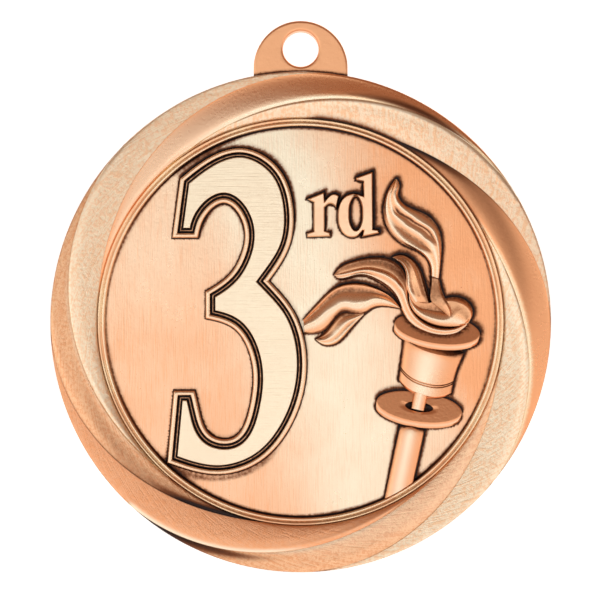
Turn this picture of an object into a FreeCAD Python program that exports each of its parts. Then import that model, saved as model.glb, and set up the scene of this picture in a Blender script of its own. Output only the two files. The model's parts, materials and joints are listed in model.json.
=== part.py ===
import FreeCAD, Part
import math
import os

import Sketcher
from FreeCAD import Vector

# A die-cast finisher medal, third place, in millimetres.  It hangs upright: +Z is up and
# the struck face looks along -Y.  The origin is the centre of the hanging hole, halfway
# through the tab.  The casting is divided along its sculpted edges, and every relief
# piece stands on the flat field of the blank.

doc = FreeCAD.newDocument("FinisherMedal")


# ---------------------------------------------------------------- driving dimensions
DRIVING = [
    ("disc_radius", 30.0, "disc, outer radius"),
    ("blank_thick", 2.0, "disc without its relief"),
    ("rim_break", 0.3, "broken corner round the back of the disc"),
    ("recess_radius", 25.0, "shallow recess in the back"),
    ("recess_deep", 0.5, "depth of that recess"),
    ("hole_rise", 32.8, "hanging hole above the disc's centre"),
    ("hole_radius", 2.15, "hanging hole"),
    ("tab_radius", 5.65, "round end of the hanging tab"),
    ("tab_rise", 30.5, "centre of the round end above the disc's centre"),
    ("tab_thick", 2.2, "hanging tab"),
    ("field_radius", 23.4, "flat round field"),
    ("bead_wide", 1.0, "ring round the field"),
    ("bead_tall", 0.6, "ring above the field"),
    ("band_tall", 1.5, "blasted bands of the border above the field"),
    ("ramp_tall", 1.1, "smooth ramps of the border above the field"),
    ("numeral_tall", 0.9, "numeral above the field"),
    ("outline_wide", 0.62, "raised line round the numeral"),
    ("groove_wide", 0.7, "groove inside that line"),
    ("letter_tall", 0.8, "letters above the field"),
    ("outer_flame_tall", 0.9, "low flame and tall flame above the field"),
    ("inner_flame_tall", 1.2, "long, curled and rolled flames and the stem above the field"),
    ("disc_half_wide", 5.15, "torch's lip and guard, half width"),
    ("disc_half_deep", 1.8, "torch's lip and guard, half depth as seen"),
    ("disc_edge", 0.65, "torch's lip and guard, thickness as seen"),
    ("disc_lean", 8.0, "degrees that the lip and the guard lean"),
    ("lip_tall", 1.1, "torch's lip above the field"),
    ("cup_tall", 1.0, "torch's cup above the field"),
    ("guard_tall", 0.9, "torch's guard and neck above the field"),
    ("handle_half_wide", 1.5, "torch's handle, half width"),
    ("handle_tall", 0.87, "torch's handle above the field"),
    ("handle_long", 14.0, "torch's handle before the ring cuts it"),
    ("torch_lean", 12.0, "degrees that the cup and the handle lean"),
]

sheet = doc.addObject("Spreadsheet::Sheet", "Sizes")
for row, (alias, value, meaning) in enumerate(DRIVING, start=1):
    sheet.set(f"A{row}", meaning)
    sheet.set(f"B{row}", str(value))
    sheet.setAlias(f"B{row}", alias)
doc.recompute()

RING_RADIUS = sheet.field_radius + sheet.bead_wide

BACK = "Sizes.tab_thick / 2"
FLOOR = "Sizes.tab_thick / 2 - Sizes.blank_thick"
DISC_CENTRE = "-Sizes.hole_rise"


# ---------------------------------------------------------------- outlines
# An outline is a start point and a list of runs, counter-clockwise, seen from the front
# with the disc's centre at (0, 0).  A run of one point is a straight line to it, and a
# longer run is a smooth curve through its points.
NUMERAL = ((-14.45, 17.18), [
    [(-15.4, 10.06)],
    [(-12.3, 10.06)],
    [(-11.5, 12.5), (-9.1, 14.23), (-7.1, 12.3), (-7.2, 7.93), (-8.4, 5.89), (-11.4, 3.66)],
    [(-11.4, 0.41)],
    [(-8.0, -0.81), (-6.0, -4.27), (-6.1, -10.16), (-8.3, -13.92), (-10.6, -13.62),
     (-12.2, -10.37), (-12.7, -8.23)],
    [(-15.2, -8.23)],
    [(-16.0, -16.87)],
    [(-10.1, -18.29), (-5.1, -16.87), (-1.1, -12.3), (0.7, -5.49), (-0.8, 1.22), (-3.8, 4.93)],
    [(-1.35, 9.05), (-0.9, 13.72), (-2.8, 18.6), (-7.2, 20.83), (-11.0, 19.72), (-14.45, 17.18)],
])

LETTER_R = ((0.66, 14.7), [
    [(1.5, 14.3)],
    [(1.5, 10.9)],
    [(0.7, 10.65)],
    [(0.75, 10.1)],
    [(3.6, 10.2)],
    [(3.55, 10.75)],
    [(2.93, 10.95)],
    [(2.93, 13.7)],
    [(3.5, 14.1), (4.3, 13.6)],
    [(4.65, 15.1)],
    [(4.1, 15.35), (3.4, 15.1), (2.93, 14.6)],
    [(2.85, 15.6)],
    [(0.66, 14.7)],
])

LETTER_D = ((7.46, 10.9), [
    [(7.3, 10.15)],
    [(9.45, 10.6)],
    [(9.35, 11.05)],
    [(8.72, 11.15)],
    [(8.64, 18.04)],
    [(6.59, 17.3)],
    [(6.65, 16.95)],
    [(7.46, 16.75)],
    [(7.46, 15.15)],
    [(6.3, 15.4), (5.0, 14.8), (4.4, 12.9), (4.75, 11.0), (5.7, 10.15), (6.7, 10.2), (7.46, 10.9)],
])

D_COUNTER = ((5.87, 13.0), [
    [(6.0, 11.8), (6.6, 11.0), (7.2, 11.8), (7.33, 13.0)],
    [(7.2, 14.2), (6.6, 15.0), (6.0, 14.2), (5.87, 13.0)],
])

FLAME_TALL = ((11.2, 17.0), [
    [(10.3, 15.5), (9.93, 13.4), (10.4, 11.3), (12.3, 9.3), (14.5, 8.2), (15.5, 6.9), (15.64, 5.5)],
    [(16.58, 5.2)],
    [(16.85, 8.0), (16.6, 10.9), (15.2, 12.7), (12.4, 14.2), (11.55, 15.5), (11.2, 17.0)],
])

FLAME_STEM = ((15.64, 5.5), [
    [(15.6, 4.0), (15.64, 2.5)],
    [(16.6, 1.6), (17.9, 0.5)],
    [(17.9, 1.6), (17.3, 2.8)],
    [(16.85, 3.9), (16.58, 5.2)],
    [(15.64, 5.5)],
])

FLAME_CURL = ((11.0, 7.75), [
    [(12.1, 6.95), (12.65, 5.6), (12.65, 4.5), (13.0, 3.3)],
    [(14.1, 2.4), (15.5, 2.4)],
    [(15.0, 4.2), (14.3, 6.3), (13.1, 7.7), (11.9, 8.05), (11.0, 7.75)],
])

FLAME_LONG = ((4.0, 5.65), [
    [(4.4, 5.25), (6.9, 5.55), (8.9, 5.05), (11.3, 3.1), (12.7, 0.4), (15.0, -1.2),
     (17.2, -1.6), (19.3, -1.0), (20.5, 0.2)],
    [(18.9, -0.5), (16.7, -0.7), (14.6, 0.1), (13.0, 2.2), (12.75, 4.5)],
    [(12.4, 5.9), (11.0, 7.3), (8.9, 7.7), (6.5, 7.3), (4.7, 6.5), (4.0, 5.65)],
])

FLAME_ROLL = ((12.6, 3.2), [
    [(13.4, 0.6), (15.3, -1.0), (17.6, -1.3), (19.5, -0.6), (20.5, 0.4)],
    [(20.4, 1.9), (19.4, 2.75), (18.3, 2.95), (17.3, 2.8)],
    [(15.6, 2.2), (12.6, 3.2)],
])

FLAME_LOW = ((11.95, 1.6), [
    [(10.9, 2.95), (9.3, 3.95), (7.7, 4.5), (6.0, 4.6), (4.2, 4.1), (2.4, 2.6), (0.3, 0.1)],
    [(0.5, -1.3)],
    [(1.7, -1.4), (2.8, -0.9), (3.6, -0.1)],
    [(3.1, -1.0), (1.8, -2.1)],
    [(2.7, -2.75), (4.1, -2.65), (5.6, -1.3), (7.2, 0.5), (8.6, 1.6), (10.2, 1.85), (11.95, 1.6)],
])

# The cup and its neck in their own frame: the cup's foot is at (0, 0).
TORCH_CUP = ((-3.45, 1.0), [
    [(-2.7, 0.2), (-0.8, -0.25), (1.1, -0.25), (2.45, 0.15), (3.08, 0.7)],
    [(3.0, 2.0), (3.1, 3.3), (3.6, 6.0)],
    [(-3.9, 6.4)],
    [(-3.6, 3.1), (-3.45, 1.0)],
])

TORCH_NECK = ((-1.35, -1.9), [
    [(0.35, -1.9)],
    [(0.35, 0.2)],
    [(-1.35, 0.2)],
    [(-1.35, -1.9)],
])

# Foot of the cup, and the middle of the lip and of the guard, from the disc's centre.
CUP_FOOT = (14.9, -8.75)
LIP_CENTRE = (16.35, -0.85)
GUARD_CENTRE = (14.2, -10.2)
HANDLE_TOP = (13.75, -11.0)

# The border is four blades.  Each has a blasted band and then a smooth ramp, clockwise.
# A boundary between them leaves the ring at the first clock angle and reaches the
# disc's edge at the second, in degrees from the top.
BLADE_EDGES = [
    (-38, 60), (23, 91),
    (60, 130), (101, 177),
    (138, 223), (190, 268),
    (219, 314), (276, 370),
]
TANGENCY = 0.65
SPIRAL_POINTS = 9


def clock_point(angle, radius):
    """The point at a clock angle in degrees and a radius about the disc's centre."""
    turn = math.radians(angle)
    return (radius * math.sin(turn), radius * math.cos(turn))


def spiral(start, end):
    """Points of a boundary that leaves the ring gently and joins the disc's edge gently."""
    points = []
    for step in range(SPIRAL_POINTS):
        part = step / (SPIRAL_POINTS - 1)
        eased = part * part * (3 - 2 * part)
        climb = TANGENCY * eased + (1 - TANGENCY) * part
        radius = RING_RADIUS + (sheet.disc_radius - RING_RADIUS) * climb
        points.append(clock_point(start + (end - start) * part, radius))
    return points


# ---------------------------------------------------------------- sketches
def curve_through(points):
    """A line through two points, or a smooth curve through more."""
    corners = [Vector(x, z, 0) for x, z in points]
    if len(corners) == 2:
        return Part.LineSegment(*corners)
    curve = Part.BSplineCurve()
    curve.interpolate(corners)
    return curve


def outline_curves(outline):
    """The curves of an outline, in order."""
    here, runs = outline
    curves = []
    for run in runs:
        curves.append(curve_through([here] + run))
        here = run[-1]
    if here != outline[0]:
        curves.append(curve_through([here, outline[0]]))
    return curves


def inset(outline, distance):
    """The same outline moved inwards, towards the left of its direction."""
    start, runs = outline
    curves = outline_curves(outline)
    moved = []
    for index, run in enumerate(runs):
        curve = curves[index]
        following = curves[(index + 1) % len(curves)]
        points = []
        for x, z in run[:-1]:
            along = curve.tangent(curve.parameter(Vector(x, z, 0)))[0]
            points.append((x - along.y * distance, z + along.x * distance))
        ahead = following.tangent(following.FirstParameter)[0]
        behind = curve.tangent(curve.LastParameter)[0]
        share = distance / (1 + ahead.dot(behind))
        x, z = run[-1]
        points.append((x - (ahead.y + behind.y) * share, z + (ahead.x + behind.x) * share))
        moved.append(points)
    return (moved[-1][-1], moved)


def face_plane(body):
    """The body's own plane that faces the front."""
    return next(plane for plane in body.Origin.OriginFeatures if plane.Role == "XZ_Plane")


def new_sketch(body, name):
    """An empty sketch on the body's front plane; a Pad from it grows towards the front."""
    sketch = body.newObject("Sketcher::SketchObject", name)
    sketch.AttachmentSupport = [(face_plane(body), "")]
    sketch.MapMode = "FlatFace"
    return sketch


def draw_loop(sketch, curves):
    """Adds a closed loop of curves, joined end to end and held where it is drawn."""
    first = sketch.GeometryCount
    tails = []
    heads = []
    for curve in curves:
        index = sketch.addGeometry(curve, False)
        # A sketch turns a clockwise arc round, which swaps its ends.
        kept = sketch.getPoint(index, 1).distanceToPoint(curve.StartPoint) < 0.001
        tails.append(1 if kept else 2)
        heads.append(2 if kept else 1)
    for index, head in enumerate(heads):
        ahead = (index + 1) % len(curves)
        ends = (first + index, head, first + ahead, tails[ahead])
        sketch.addConstraint(Sketcher.Constraint("Coincident", *ends))
    for index in range(len(curves)):
        sketch.addConstraint(Sketcher.Constraint("Block", first + index))


def draw_circle(sketch, radius_formula, rise_formula=None):
    """Adds a circle on the vertical axis whose radius and rise come from the sheet."""
    circle = Part.Circle(Vector(0, 1, 0), Vector(0, 0, 1), 1)
    index = sketch.addGeometry(circle, False)
    size = sketch.addConstraint(Sketcher.Constraint("Radius", index, 1))
    sketch.setExpression(f"Constraints[{size}]", radius_formula)
    if rise_formula is None:
        sketch.addConstraint(Sketcher.Constraint("Coincident", index, 3, -1, 1))
        return
    sketch.addConstraint(Sketcher.Constraint("PointOnObject", index, 3, -2))
    rise = sketch.addConstraint(Sketcher.Constraint("DistanceY", -1, 1, index, 3, 1))
    sketch.setExpression(f"Constraints[{rise}]", rise_formula)


# ---------------------------------------------------------------- bodies
nodes = []


def new_body(label, depth_formula):
    """A body whose front plane lies at the given depth, about the disc's centre."""
    body = doc.addObject("PartDesign::Body", label)
    body.Label = label
    body.setExpression("Placement.Base.y", depth_formula)
    body.setExpression("Placement.Base.z", DISC_CENTRE)
    return body


def pad(body, sketch, length_formula):
    """Grows the sketch towards the front."""
    feature = body.newObject("PartDesign::Pad", "Pad")
    feature.Profile = sketch
    feature.setExpression("Length", length_formula)
    doc.recompute()
    return feature


def pocket(body, sketch, length_formula):
    """Cuts the sketch into the body towards the front."""
    before = body.Shape.Volume
    feature = body.newObject("PartDesign::Pocket", "Pocket")
    feature.Profile = sketch
    feature.Reversed = True
    feature.setExpression("Length", length_formula)
    doc.recompute()
    if body.Shape.Volume > before - 0.5:
        raise ValueError(f"{body.Label}: the pocket cuts nothing")
    return feature


def relief(label, outlines, tall_formula):
    """A raised piece of the casting: outlines padded up from the field."""
    body = new_body(label, FLOOR)
    sketch = new_sketch(body, "Outline")
    for outline in outlines:
        draw_loop(sketch, outline_curves(outline))
    pad(body, sketch, tall_formula)
    return body


def trimmed(label, whole, *neighbours):
    """The piece without the room that its neighbours in front of it take."""
    whole.Label = label + "_whole"
    rest = whole
    for neighbour in neighbours:
        cut = doc.addObject("Part::Cut", label)
        cut.Base = rest
        cut.Tool = neighbour
        rest = cut
    rest.Label = label
    doc.recompute()
    return rest


def keep(piece):
    """Counts a finished piece among the nodes."""
    nodes.append(piece)
    return piece


# ---------------------------------------------------------------- blank and tab
def blank_disc():
    """The round plate, with a shallow recess behind and a broken corner at the back."""
    body = new_body("blank_disc", BACK)
    plate = new_sketch(body, "Plate")
    draw_circle(plate, "Sizes.disc_radius")
    grown = pad(body, plate, "Sizes.blank_thick")
    rim = next(
        f"Edge{number}"
        for number, edge in enumerate(body.Shape.Edges, start=1)
        if edge.BoundBox.YLength < 0.001 and abs(edge.BoundBox.YMax - body.Placement.Base.y) < 0.001
    )
    corner = body.newObject("PartDesign::Chamfer", "BackCorner")
    corner.Base = (grown, [rim])
    corner.setExpression("Size", "Sizes.rim_break")
    doc.recompute()
    recess = new_sketch(body, "Recess")
    draw_circle(recess, "Sizes.recess_radius")
    pocket(body, recess, "Sizes.recess_deep")
    return body


def hanging_tab():
    """The eye that the ribbon's ring passes through, ending on the disc's edge."""
    body = new_body("hanging_tab", BACK)
    radius = sheet.tab_radius
    rise = sheet.tab_rise
    foot = rise - radius
    end = Part.ArcOfCircle(Part.Circle(Vector(0, rise, 0), Vector(0, 0, 1), radius), 0, math.pi)
    sides = [
        end,
        Part.LineSegment(Vector(-radius, rise, 0), Vector(-radius, foot, 0)),
        Part.LineSegment(Vector(-radius, foot, 0), Vector(radius, foot, 0)),
        Part.LineSegment(Vector(radius, foot, 0), Vector(radius, rise, 0)),
    ]
    eye = new_sketch(body, "Eye")
    draw_loop(eye, sides)
    pad(body, eye, "Sizes.tab_thick")
    for name, radius_formula, rise_formula in [
        ("DiscEdge", "Sizes.disc_radius", None),
        ("Hole", "Sizes.hole_radius", "Sizes.hole_rise"),
    ]:
        sketch = new_sketch(body, name)
        draw_circle(sketch, radius_formula, rise_formula)
        pocket(body, sketch, "Sizes.tab_thick")
    return body


# ---------------------------------------------------------------- border
def field_bead():
    """The ring between the field and the border."""
    body = new_body("field_bead", FLOOR)
    sketch = new_sketch(body, "Ring")
    draw_circle(sketch, "Sizes.field_radius")
    draw_circle(sketch, "Sizes.field_radius + Sizes.bead_wide")
    pad(body, sketch, "Sizes.bead_tall")
    return body


def clock_arc(start, end, radius):
    """An arc about the disc's centre between two clock angles, drawn in that order."""
    middle = (start + end) / 2
    ends = [Vector(*clock_point(angle, radius), 0) for angle in (start, middle, end)]
    return Part.Arc(*ends)


def border_strip(label, leading, trailing, tall_formula):
    """One strip of the swirl, between two boundaries, the ring and the disc's edge."""
    body = new_body(label, FLOOR)
    sketch = new_sketch(body, "Strip")
    out = curve_through(spiral(*leading))
    back = curve_through(spiral(*trailing)[::-1])
    rim = clock_arc(leading[1], trailing[1], sheet.disc_radius)
    ring = clock_arc(trailing[0], leading[0], RING_RADIUS)
    draw_loop(sketch, [out, rim, back, ring])
    pad(body, sketch, tall_formula)
    return body


# ---------------------------------------------------------------- torch
def stand(piece, point, lean_formula):
    """Moves a piece to a point of the face and leans its top to the right."""
    piece.Placement.Rotation = FreeCAD.Rotation(Vector(0, 1, 0), 1)
    piece.setExpression("Placement.Rotation.Angle", lean_formula)
    piece.Placement.Base.x = point[0]
    piece.setExpression("Placement.Base.z", f"{point[1]} + {DISC_CENTRE}")
    doc.recompute()
    return piece


def leaning_disc(label, centre, tall_formula):
    """A disc seen from a little above: its round top face and the edge below that."""
    body = new_body(label, FLOOR)
    wide = sheet.disc_half_wide
    deep = sheet.disc_half_deep
    edge = sheet.disc_edge
    upper = Part.Ellipse(Vector(0, 0, 0), wide, deep)
    lower = Part.Ellipse(Vector(0, -edge, 0), wide, deep)
    sketch = new_sketch(body, "Disc")
    draw_loop(sketch, [
        Part.ArcOfEllipse(upper, 0, math.pi),
        Part.LineSegment(Vector(-wide, 0, 0), Vector(-wide, -edge, 0)),
        Part.ArcOfEllipse(lower, math.pi, 2 * math.pi),
        Part.LineSegment(Vector(wide, -edge, 0), Vector(wide, 0, 0)),
    ])
    pad(body, sketch, tall_formula)
    return stand(body, centre, "Sizes.disc_lean")


def torch_handle():
    """A round bar, sunk so far that its raised part has the handle's width."""
    bar = doc.addObject("Part::Cylinder", "Bar")
    radius = "(Sizes.handle_half_wide^2 + Sizes.handle_tall^2) / (2 * Sizes.handle_tall)"
    bar.setExpression("Radius", radius)
    bar.setExpression("Height", "Sizes.handle_long")
    turn = math.radians(sheet.torch_lean)
    foot = (
        HANDLE_TOP[0] - sheet.handle_long * math.sin(turn),
        HANDLE_TOP[1] - sheet.handle_long * math.cos(turn),
    )
    stand(bar, foot, "Sizes.torch_lean")
    bar.setExpression("Placement.Base.y", f"{FLOOR} + {radius} - Sizes.handle_tall")
    room = new_body("field_room", FLOOR)
    sketch = new_sketch(room, "Field")
    draw_circle(sketch, "Sizes.field_radius")
    pad(room, sketch, "Sizes.band_tall")
    raised = doc.addObject("Part::Common", "torch_handle")
    raised.Base = bar
    raised.Tool = room
    doc.recompute()
    return raised


# ---------------------------------------------------------------- the casting
keep(blank_disc())
keep(hanging_tab())
keep(field_bead())

for number in range(4):
    first, second, third = (BLADE_EDGES * 2)[2 * number:2 * number + 3]
    if third[0] < second[0]:
        third = (third[0] + 360, third[1] + 360)
    keep(border_strip(f"border_band_{number + 1}", first, second, "Sizes.band_tall"))
    keep(border_strip(f"border_ramp_{number + 1}", second, third, "Sizes.ramp_tall"))

face_inset = sheet.outline_wide + sheet.groove_wide
raised_line = [NUMERAL, inset(NUMERAL, sheet.outline_wide)]
numeral_outline = keep(relief("numeral_outline", raised_line, "Sizes.numeral_tall"))
keep(relief("numeral_face", [inset(NUMERAL, face_inset)], "Sizes.numeral_tall"))
keep(relief("letter_r", [LETTER_R], "Sizes.letter_tall"))
keep(relief("letter_d", [LETTER_D, D_COUNTER], "Sizes.letter_tall"))

keep(relief("flame_tall", [FLAME_TALL], "Sizes.outer_flame_tall"))
flame_stem = keep(relief("flame_stem", [FLAME_STEM], "Sizes.inner_flame_tall"))
flame_long = keep(relief("flame_long", [FLAME_LONG], "Sizes.inner_flame_tall"))
flame_roll = relief("flame_roll", [FLAME_ROLL], "Sizes.inner_flame_tall")
flame_roll = keep(trimmed("flame_roll", flame_roll, flame_long, flame_stem))
flame_curl = relief("flame_curl", [FLAME_CURL], "Sizes.inner_flame_tall")
keep(trimmed("flame_curl", flame_curl, flame_long, flame_roll))
flame_low = relief("flame_low", [FLAME_LOW], "Sizes.outer_flame_tall")
numeral_room = relief("numeral_room", [NUMERAL], "Sizes.band_tall")
keep(trimmed("flame_low", flame_low, flame_long, numeral_room))

torch_lip = leaning_disc("torch_lip", LIP_CENTRE, "Sizes.lip_tall")
torch_lip = keep(trimmed("torch_lip", torch_lip, flame_long, flame_roll, flame_stem))
torch_cup = stand(relief("torch_cup", [TORCH_CUP], "Sizes.cup_tall"), CUP_FOOT, "Sizes.torch_lean")
torch_cup = keep(trimmed("torch_cup", torch_cup, torch_lip))
torch_neck = stand(relief("torch_neck", [TORCH_NECK], "Sizes.guard_tall"), CUP_FOOT, "Sizes.torch_lean")
torch_neck = keep(trimmed("torch_neck", torch_neck, torch_cup))
torch_guard = leaning_disc("torch_guard", GUARD_CENTRE, "Sizes.guard_tall")
torch_guard = keep(trimmed("torch_guard", torch_guard, torch_cup, torch_neck))
keep(trimmed("torch_handle", torch_handle(), torch_guard))


# ---------------------------------------------------------------- checks and export
doc.recompute()
for item in doc.Objects:
    if "Invalid" in item.State or "Error" in item.State:
        raise ValueError(f"{item.Label} is not built: {item.State}")

os.makedirs("parts", exist_ok=True)
for piece in nodes:
    if piece.Shape.isNull() or not piece.Shape.isValid():
        raise ValueError(f"{piece.Label} has no valid shape")
    piece.Shape.exportStep(f"parts/{piece.Label}.step")
    print(f"{piece.Label}: {len(piece.Shape.Solids)} solid, {piece.Shape.Volume:.2f} cubic mm")
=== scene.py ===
import math
import json

import bmesh
import bpy
import numpy as np
from bpy.props import FloatProperty, FloatVectorProperty, PointerProperty
from bpy.types import Operator, Panel, PropertyGroup
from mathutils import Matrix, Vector


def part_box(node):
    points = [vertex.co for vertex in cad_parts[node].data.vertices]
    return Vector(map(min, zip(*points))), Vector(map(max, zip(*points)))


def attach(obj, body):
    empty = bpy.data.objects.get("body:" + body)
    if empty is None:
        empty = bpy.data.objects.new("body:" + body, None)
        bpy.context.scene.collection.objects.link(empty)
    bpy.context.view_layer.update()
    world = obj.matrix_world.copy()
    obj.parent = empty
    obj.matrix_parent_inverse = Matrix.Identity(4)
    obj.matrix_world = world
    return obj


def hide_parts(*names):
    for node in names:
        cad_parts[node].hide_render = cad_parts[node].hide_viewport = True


bl_info = {
    "name": "Finisher Medal",
    "version": (1, 0, 0),
    "blender": (4, 5, 0),
    "location": "View3D > Sidebar > Medal",
    "description": "Finishes a die-cast finisher medal in antique copper, piece by piece",
    "category": "Object",
}

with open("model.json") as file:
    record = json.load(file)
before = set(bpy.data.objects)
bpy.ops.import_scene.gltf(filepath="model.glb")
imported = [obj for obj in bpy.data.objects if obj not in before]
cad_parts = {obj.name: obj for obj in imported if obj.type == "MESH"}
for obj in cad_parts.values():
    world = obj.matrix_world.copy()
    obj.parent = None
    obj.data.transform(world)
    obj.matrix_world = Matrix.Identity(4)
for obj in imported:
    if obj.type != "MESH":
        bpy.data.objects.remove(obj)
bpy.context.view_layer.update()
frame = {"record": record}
MM = 0.001


def node_box(name):
    """A node's lowest and highest corners in millimetres."""
    low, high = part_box(name)
    return np.array(low) / MM, np.array(high) / MM


# ---------------------------------------------------------------- places from the frame
DISC_LOW, DISC_HIGH = node_box("blank_disc")
DISC_RADIUS = (DISC_HIGH[0] - DISC_LOW[0]) / 2
DISC_CENTRE = (DISC_LOW[2] + DISC_HIGH[2]) / 2
FLOOR = DISC_LOW[1]
BACK = DISC_HIGH[1]
BEAD_LOW, BEAD_HIGH = node_box("field_bead")
RING_RADIUS = (BEAD_HIGH[0] - BEAD_LOW[0]) / 2
BEAD_WIDE = 1.0
FIELD_RADIUS = RING_RADIUS - BEAD_WIDE
TAB_LOW, TAB_HIGH = node_box("hanging_tab")
TAB_RADIUS = (TAB_HIGH[0] - TAB_LOW[0]) / 2
HOLE_RADIUS = 2.15
HOLE_RISE = -DISC_CENTRE


def rise(name):
    """How far a node stands above the field."""
    return FLOOR - node_box(name)[0][1]


# ---------------------------------------------------------------- outlines
# An outline is a start point and its runs, counter-clockwise as the face is seen, in
# millimetres from the disc's centre.  A run of one point is straight, a longer one smooth,
# and the last one ends at the start.
NUMERAL = ((-14.45, 17.18), [
    [(-15.4, 10.06)],
    [(-12.3, 10.06)],
    [(-11.5, 12.5), (-9.1, 14.23), (-7.1, 12.3), (-7.2, 7.93), (-8.4, 5.89), (-11.4, 3.66)],
    [(-11.4, 0.41)],
    [(-8.0, -0.81), (-6.0, -4.27), (-6.1, -10.16), (-8.3, -13.92), (-10.6, -13.62),
     (-12.2, -10.37), (-12.7, -8.23)],
    [(-15.2, -8.23)],
    [(-16.0, -16.87)],
    [(-10.1, -18.29), (-5.1, -16.87), (-1.1, -12.3), (0.7, -5.49), (-0.8, 1.22), (-3.8, 4.93)],
    [(-1.35, 9.05), (-0.9, 13.72), (-2.8, 18.6), (-7.2, 20.83), (-11.0, 19.72), (-14.45, 17.18)],
])

LETTER_R = ((0.66, 14.7), [
    [(1.5, 14.3)],
    [(1.5, 10.9)],
    [(0.7, 10.65)],
    [(0.75, 10.1)],
    [(3.6, 10.2)],
    [(3.55, 10.75)],
    [(2.93, 10.95)],
    [(2.93, 13.7)],
    [(3.5, 14.1), (4.3, 13.6)],
    [(4.65, 15.1)],
    [(4.1, 15.35), (3.4, 15.1), (2.93, 14.6)],
    [(2.85, 15.6)],
    [(0.66, 14.7)],
])

LETTER_D = ((7.46, 10.9), [
    [(7.3, 10.15)],
    [(9.45, 10.6)],
    [(9.35, 11.05)],
    [(8.72, 11.15)],
    [(8.64, 18.04)],
    [(6.59, 17.3)],
    [(6.65, 16.95)],
    [(7.46, 16.75)],
    [(7.46, 15.15)],
    [(6.3, 15.4), (5.0, 14.8), (4.4, 12.9), (4.75, 11.0), (5.7, 10.15), (6.7, 10.2),
     (7.46, 10.9)],
])

# A hole is drawn the other way round, so that its inward side is the letter's.
D_COUNTER = ((5.87, 13.0), [
    [(6.0, 14.2), (6.6, 15.0), (7.2, 14.2), (7.33, 13.0)],
    [(7.2, 11.8), (6.6, 11.0), (6.0, 11.8), (5.87, 13.0)],
])

# The border's boundaries: the clock angle where each leaves the ring, and the one where
# it reaches the disc's edge.  Blasted bands and smooth ramps follow each other clockwise.
# TANGENCY is the share of a boundary's climb that is eased, so that it hugs both ends.
BLADE_EDGES = [
    (-38, 60), (23, 91),
    (60, 130), (101, 177),
    (138, 223), (190, 268),
    (219, 314), (276, 370),
]
TANGENCY = 0.65

# The torch leans clockwise.  Its lip and its guard are round plates seen aslant: PLATE_WIDE
# and PLATE_DEEP are half their width and depth, PLATE_EDGE is the edge that shows below,
# and PLATE_BACK the height of the face's back.  The handle comes out HANDLE_DROP down.
TORCH_LEAN = math.radians(12)
PLATE_LEAN = math.radians(8)
PLATE_WIDE = 5.15
PLATE_DEEP = 1.80
PLATE_EDGE = 0.65
PLATE_BACK = 0.16
CUP_FOOT = (14.9, -8.75)
LIP_CENTRE = (16.35, -0.85)
GUARD_CENTRE = (14.2, -10.2)
HANDLE_TOP = (13.75, -11.0)
HANDLE_DROP = 1.4
HANDLE_HALF = 1.5
# The cup's sides from its mouth down, and the neck's, from the cup's foot and leaned with it.
CUP_LEFT = [(-3.9, 6.4), (-3.6, 3.1), (-3.45, 1.0)]
CUP_RIGHT = [(3.6, 6.0), (3.1, 3.3), (3.08, 0.7)]
CUP_SAG = 1.1
NECK_LEFT = [(-1.35, 0.2), (-1.35, -1.9)]
NECK_RIGHT = [(0.35, 0.2), (0.35, -1.9)]

# ---------------------------------------------------------------- heights above the field
BURIED = -0.03
BEAD_TALL = rise("field_bead")
CREST_TALL = rise("border_band_1")
RING_TALL = 0.72
RIM_TALL = 1.10
STEP_TALL = 0.60
# The back has a flat rim round a shallow recess.
RECESS_RADIUS = 25.0
RECESS_DEEP = 0.5
RIM_INSIDE = 28.0
# The rounding of the disc's edge, and how far inside its outline the surfaces stay.
EDGE_SOFT = 0.30
HAIR = 0.03
EYE_SOFT = 0.32
# How far a band falls from its crest to its step, and how much its crest is rounded.
BAND_FALL = 0.34
CREST_SOFT = 0.16

# ---------------------------------------------------------------- how fine the meshes are
# Counts of points, but for the eye's step in degrees and the outlines' in millimetres.
PLATE_TURNS = 560
FIELD_RINGS = 98
RECESS_RINGS = 40
BEAD_TURNS = 480
EYE_STEP = 2
STRIP_SHAPE = (170, 41)
FLAME_SHAPE = (130, 65)
PLATE_LOOP = 144
NUMERAL_STEP = 0.16
LETTER_STEP = 0.10

# ---------------------------------------------------------------- the field's patina and painted shadows
# How far soot reaches from a foot of the relief, and the painted shadows: a strength, the shift
# that lays each above and right of the relief, and its reach in halos.  The last is the numeral's.
SOOT_REACH = 0.11
PAINTED_SHADOWS = ((0.55, (0.10, 0.20), 0.7), (0.16, (0.22, 0.55), 1.3))
# A painted shadow laid below the numeral.
PAINTED_SHADOW_BELOW = (0.36, (-0.05, -0.55), 1.1)

# ---------------------------------------------------------------- the border's finish
# A band's colour goes from pale at warmth 0 to copper at 1, set band by band as painted
# light for the way each band faces.  brown is painted shade on its inner half, lit the
# painted highlight along its crest's outer half, and shade the black beside the ring.
BANDS = [
    {"warmth": 0.20, "brown": 0.00, "lit": 1.0, "shade": 0.75},
    {"warmth": 0.05, "brown": 0.00, "lit": 0.0, "shade": 0.0},
    {"warmth": 0.86, "brown": 0.06, "lit": 1.0, "shade": 0.0},
    {"warmth": 0.10, "brown": 0.00, "lit": 0.0, "shade": 0.0},
]
# The black beside the ring is full from the second of these clock angles on.
SHADE_FROM = (0, 6)
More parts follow.
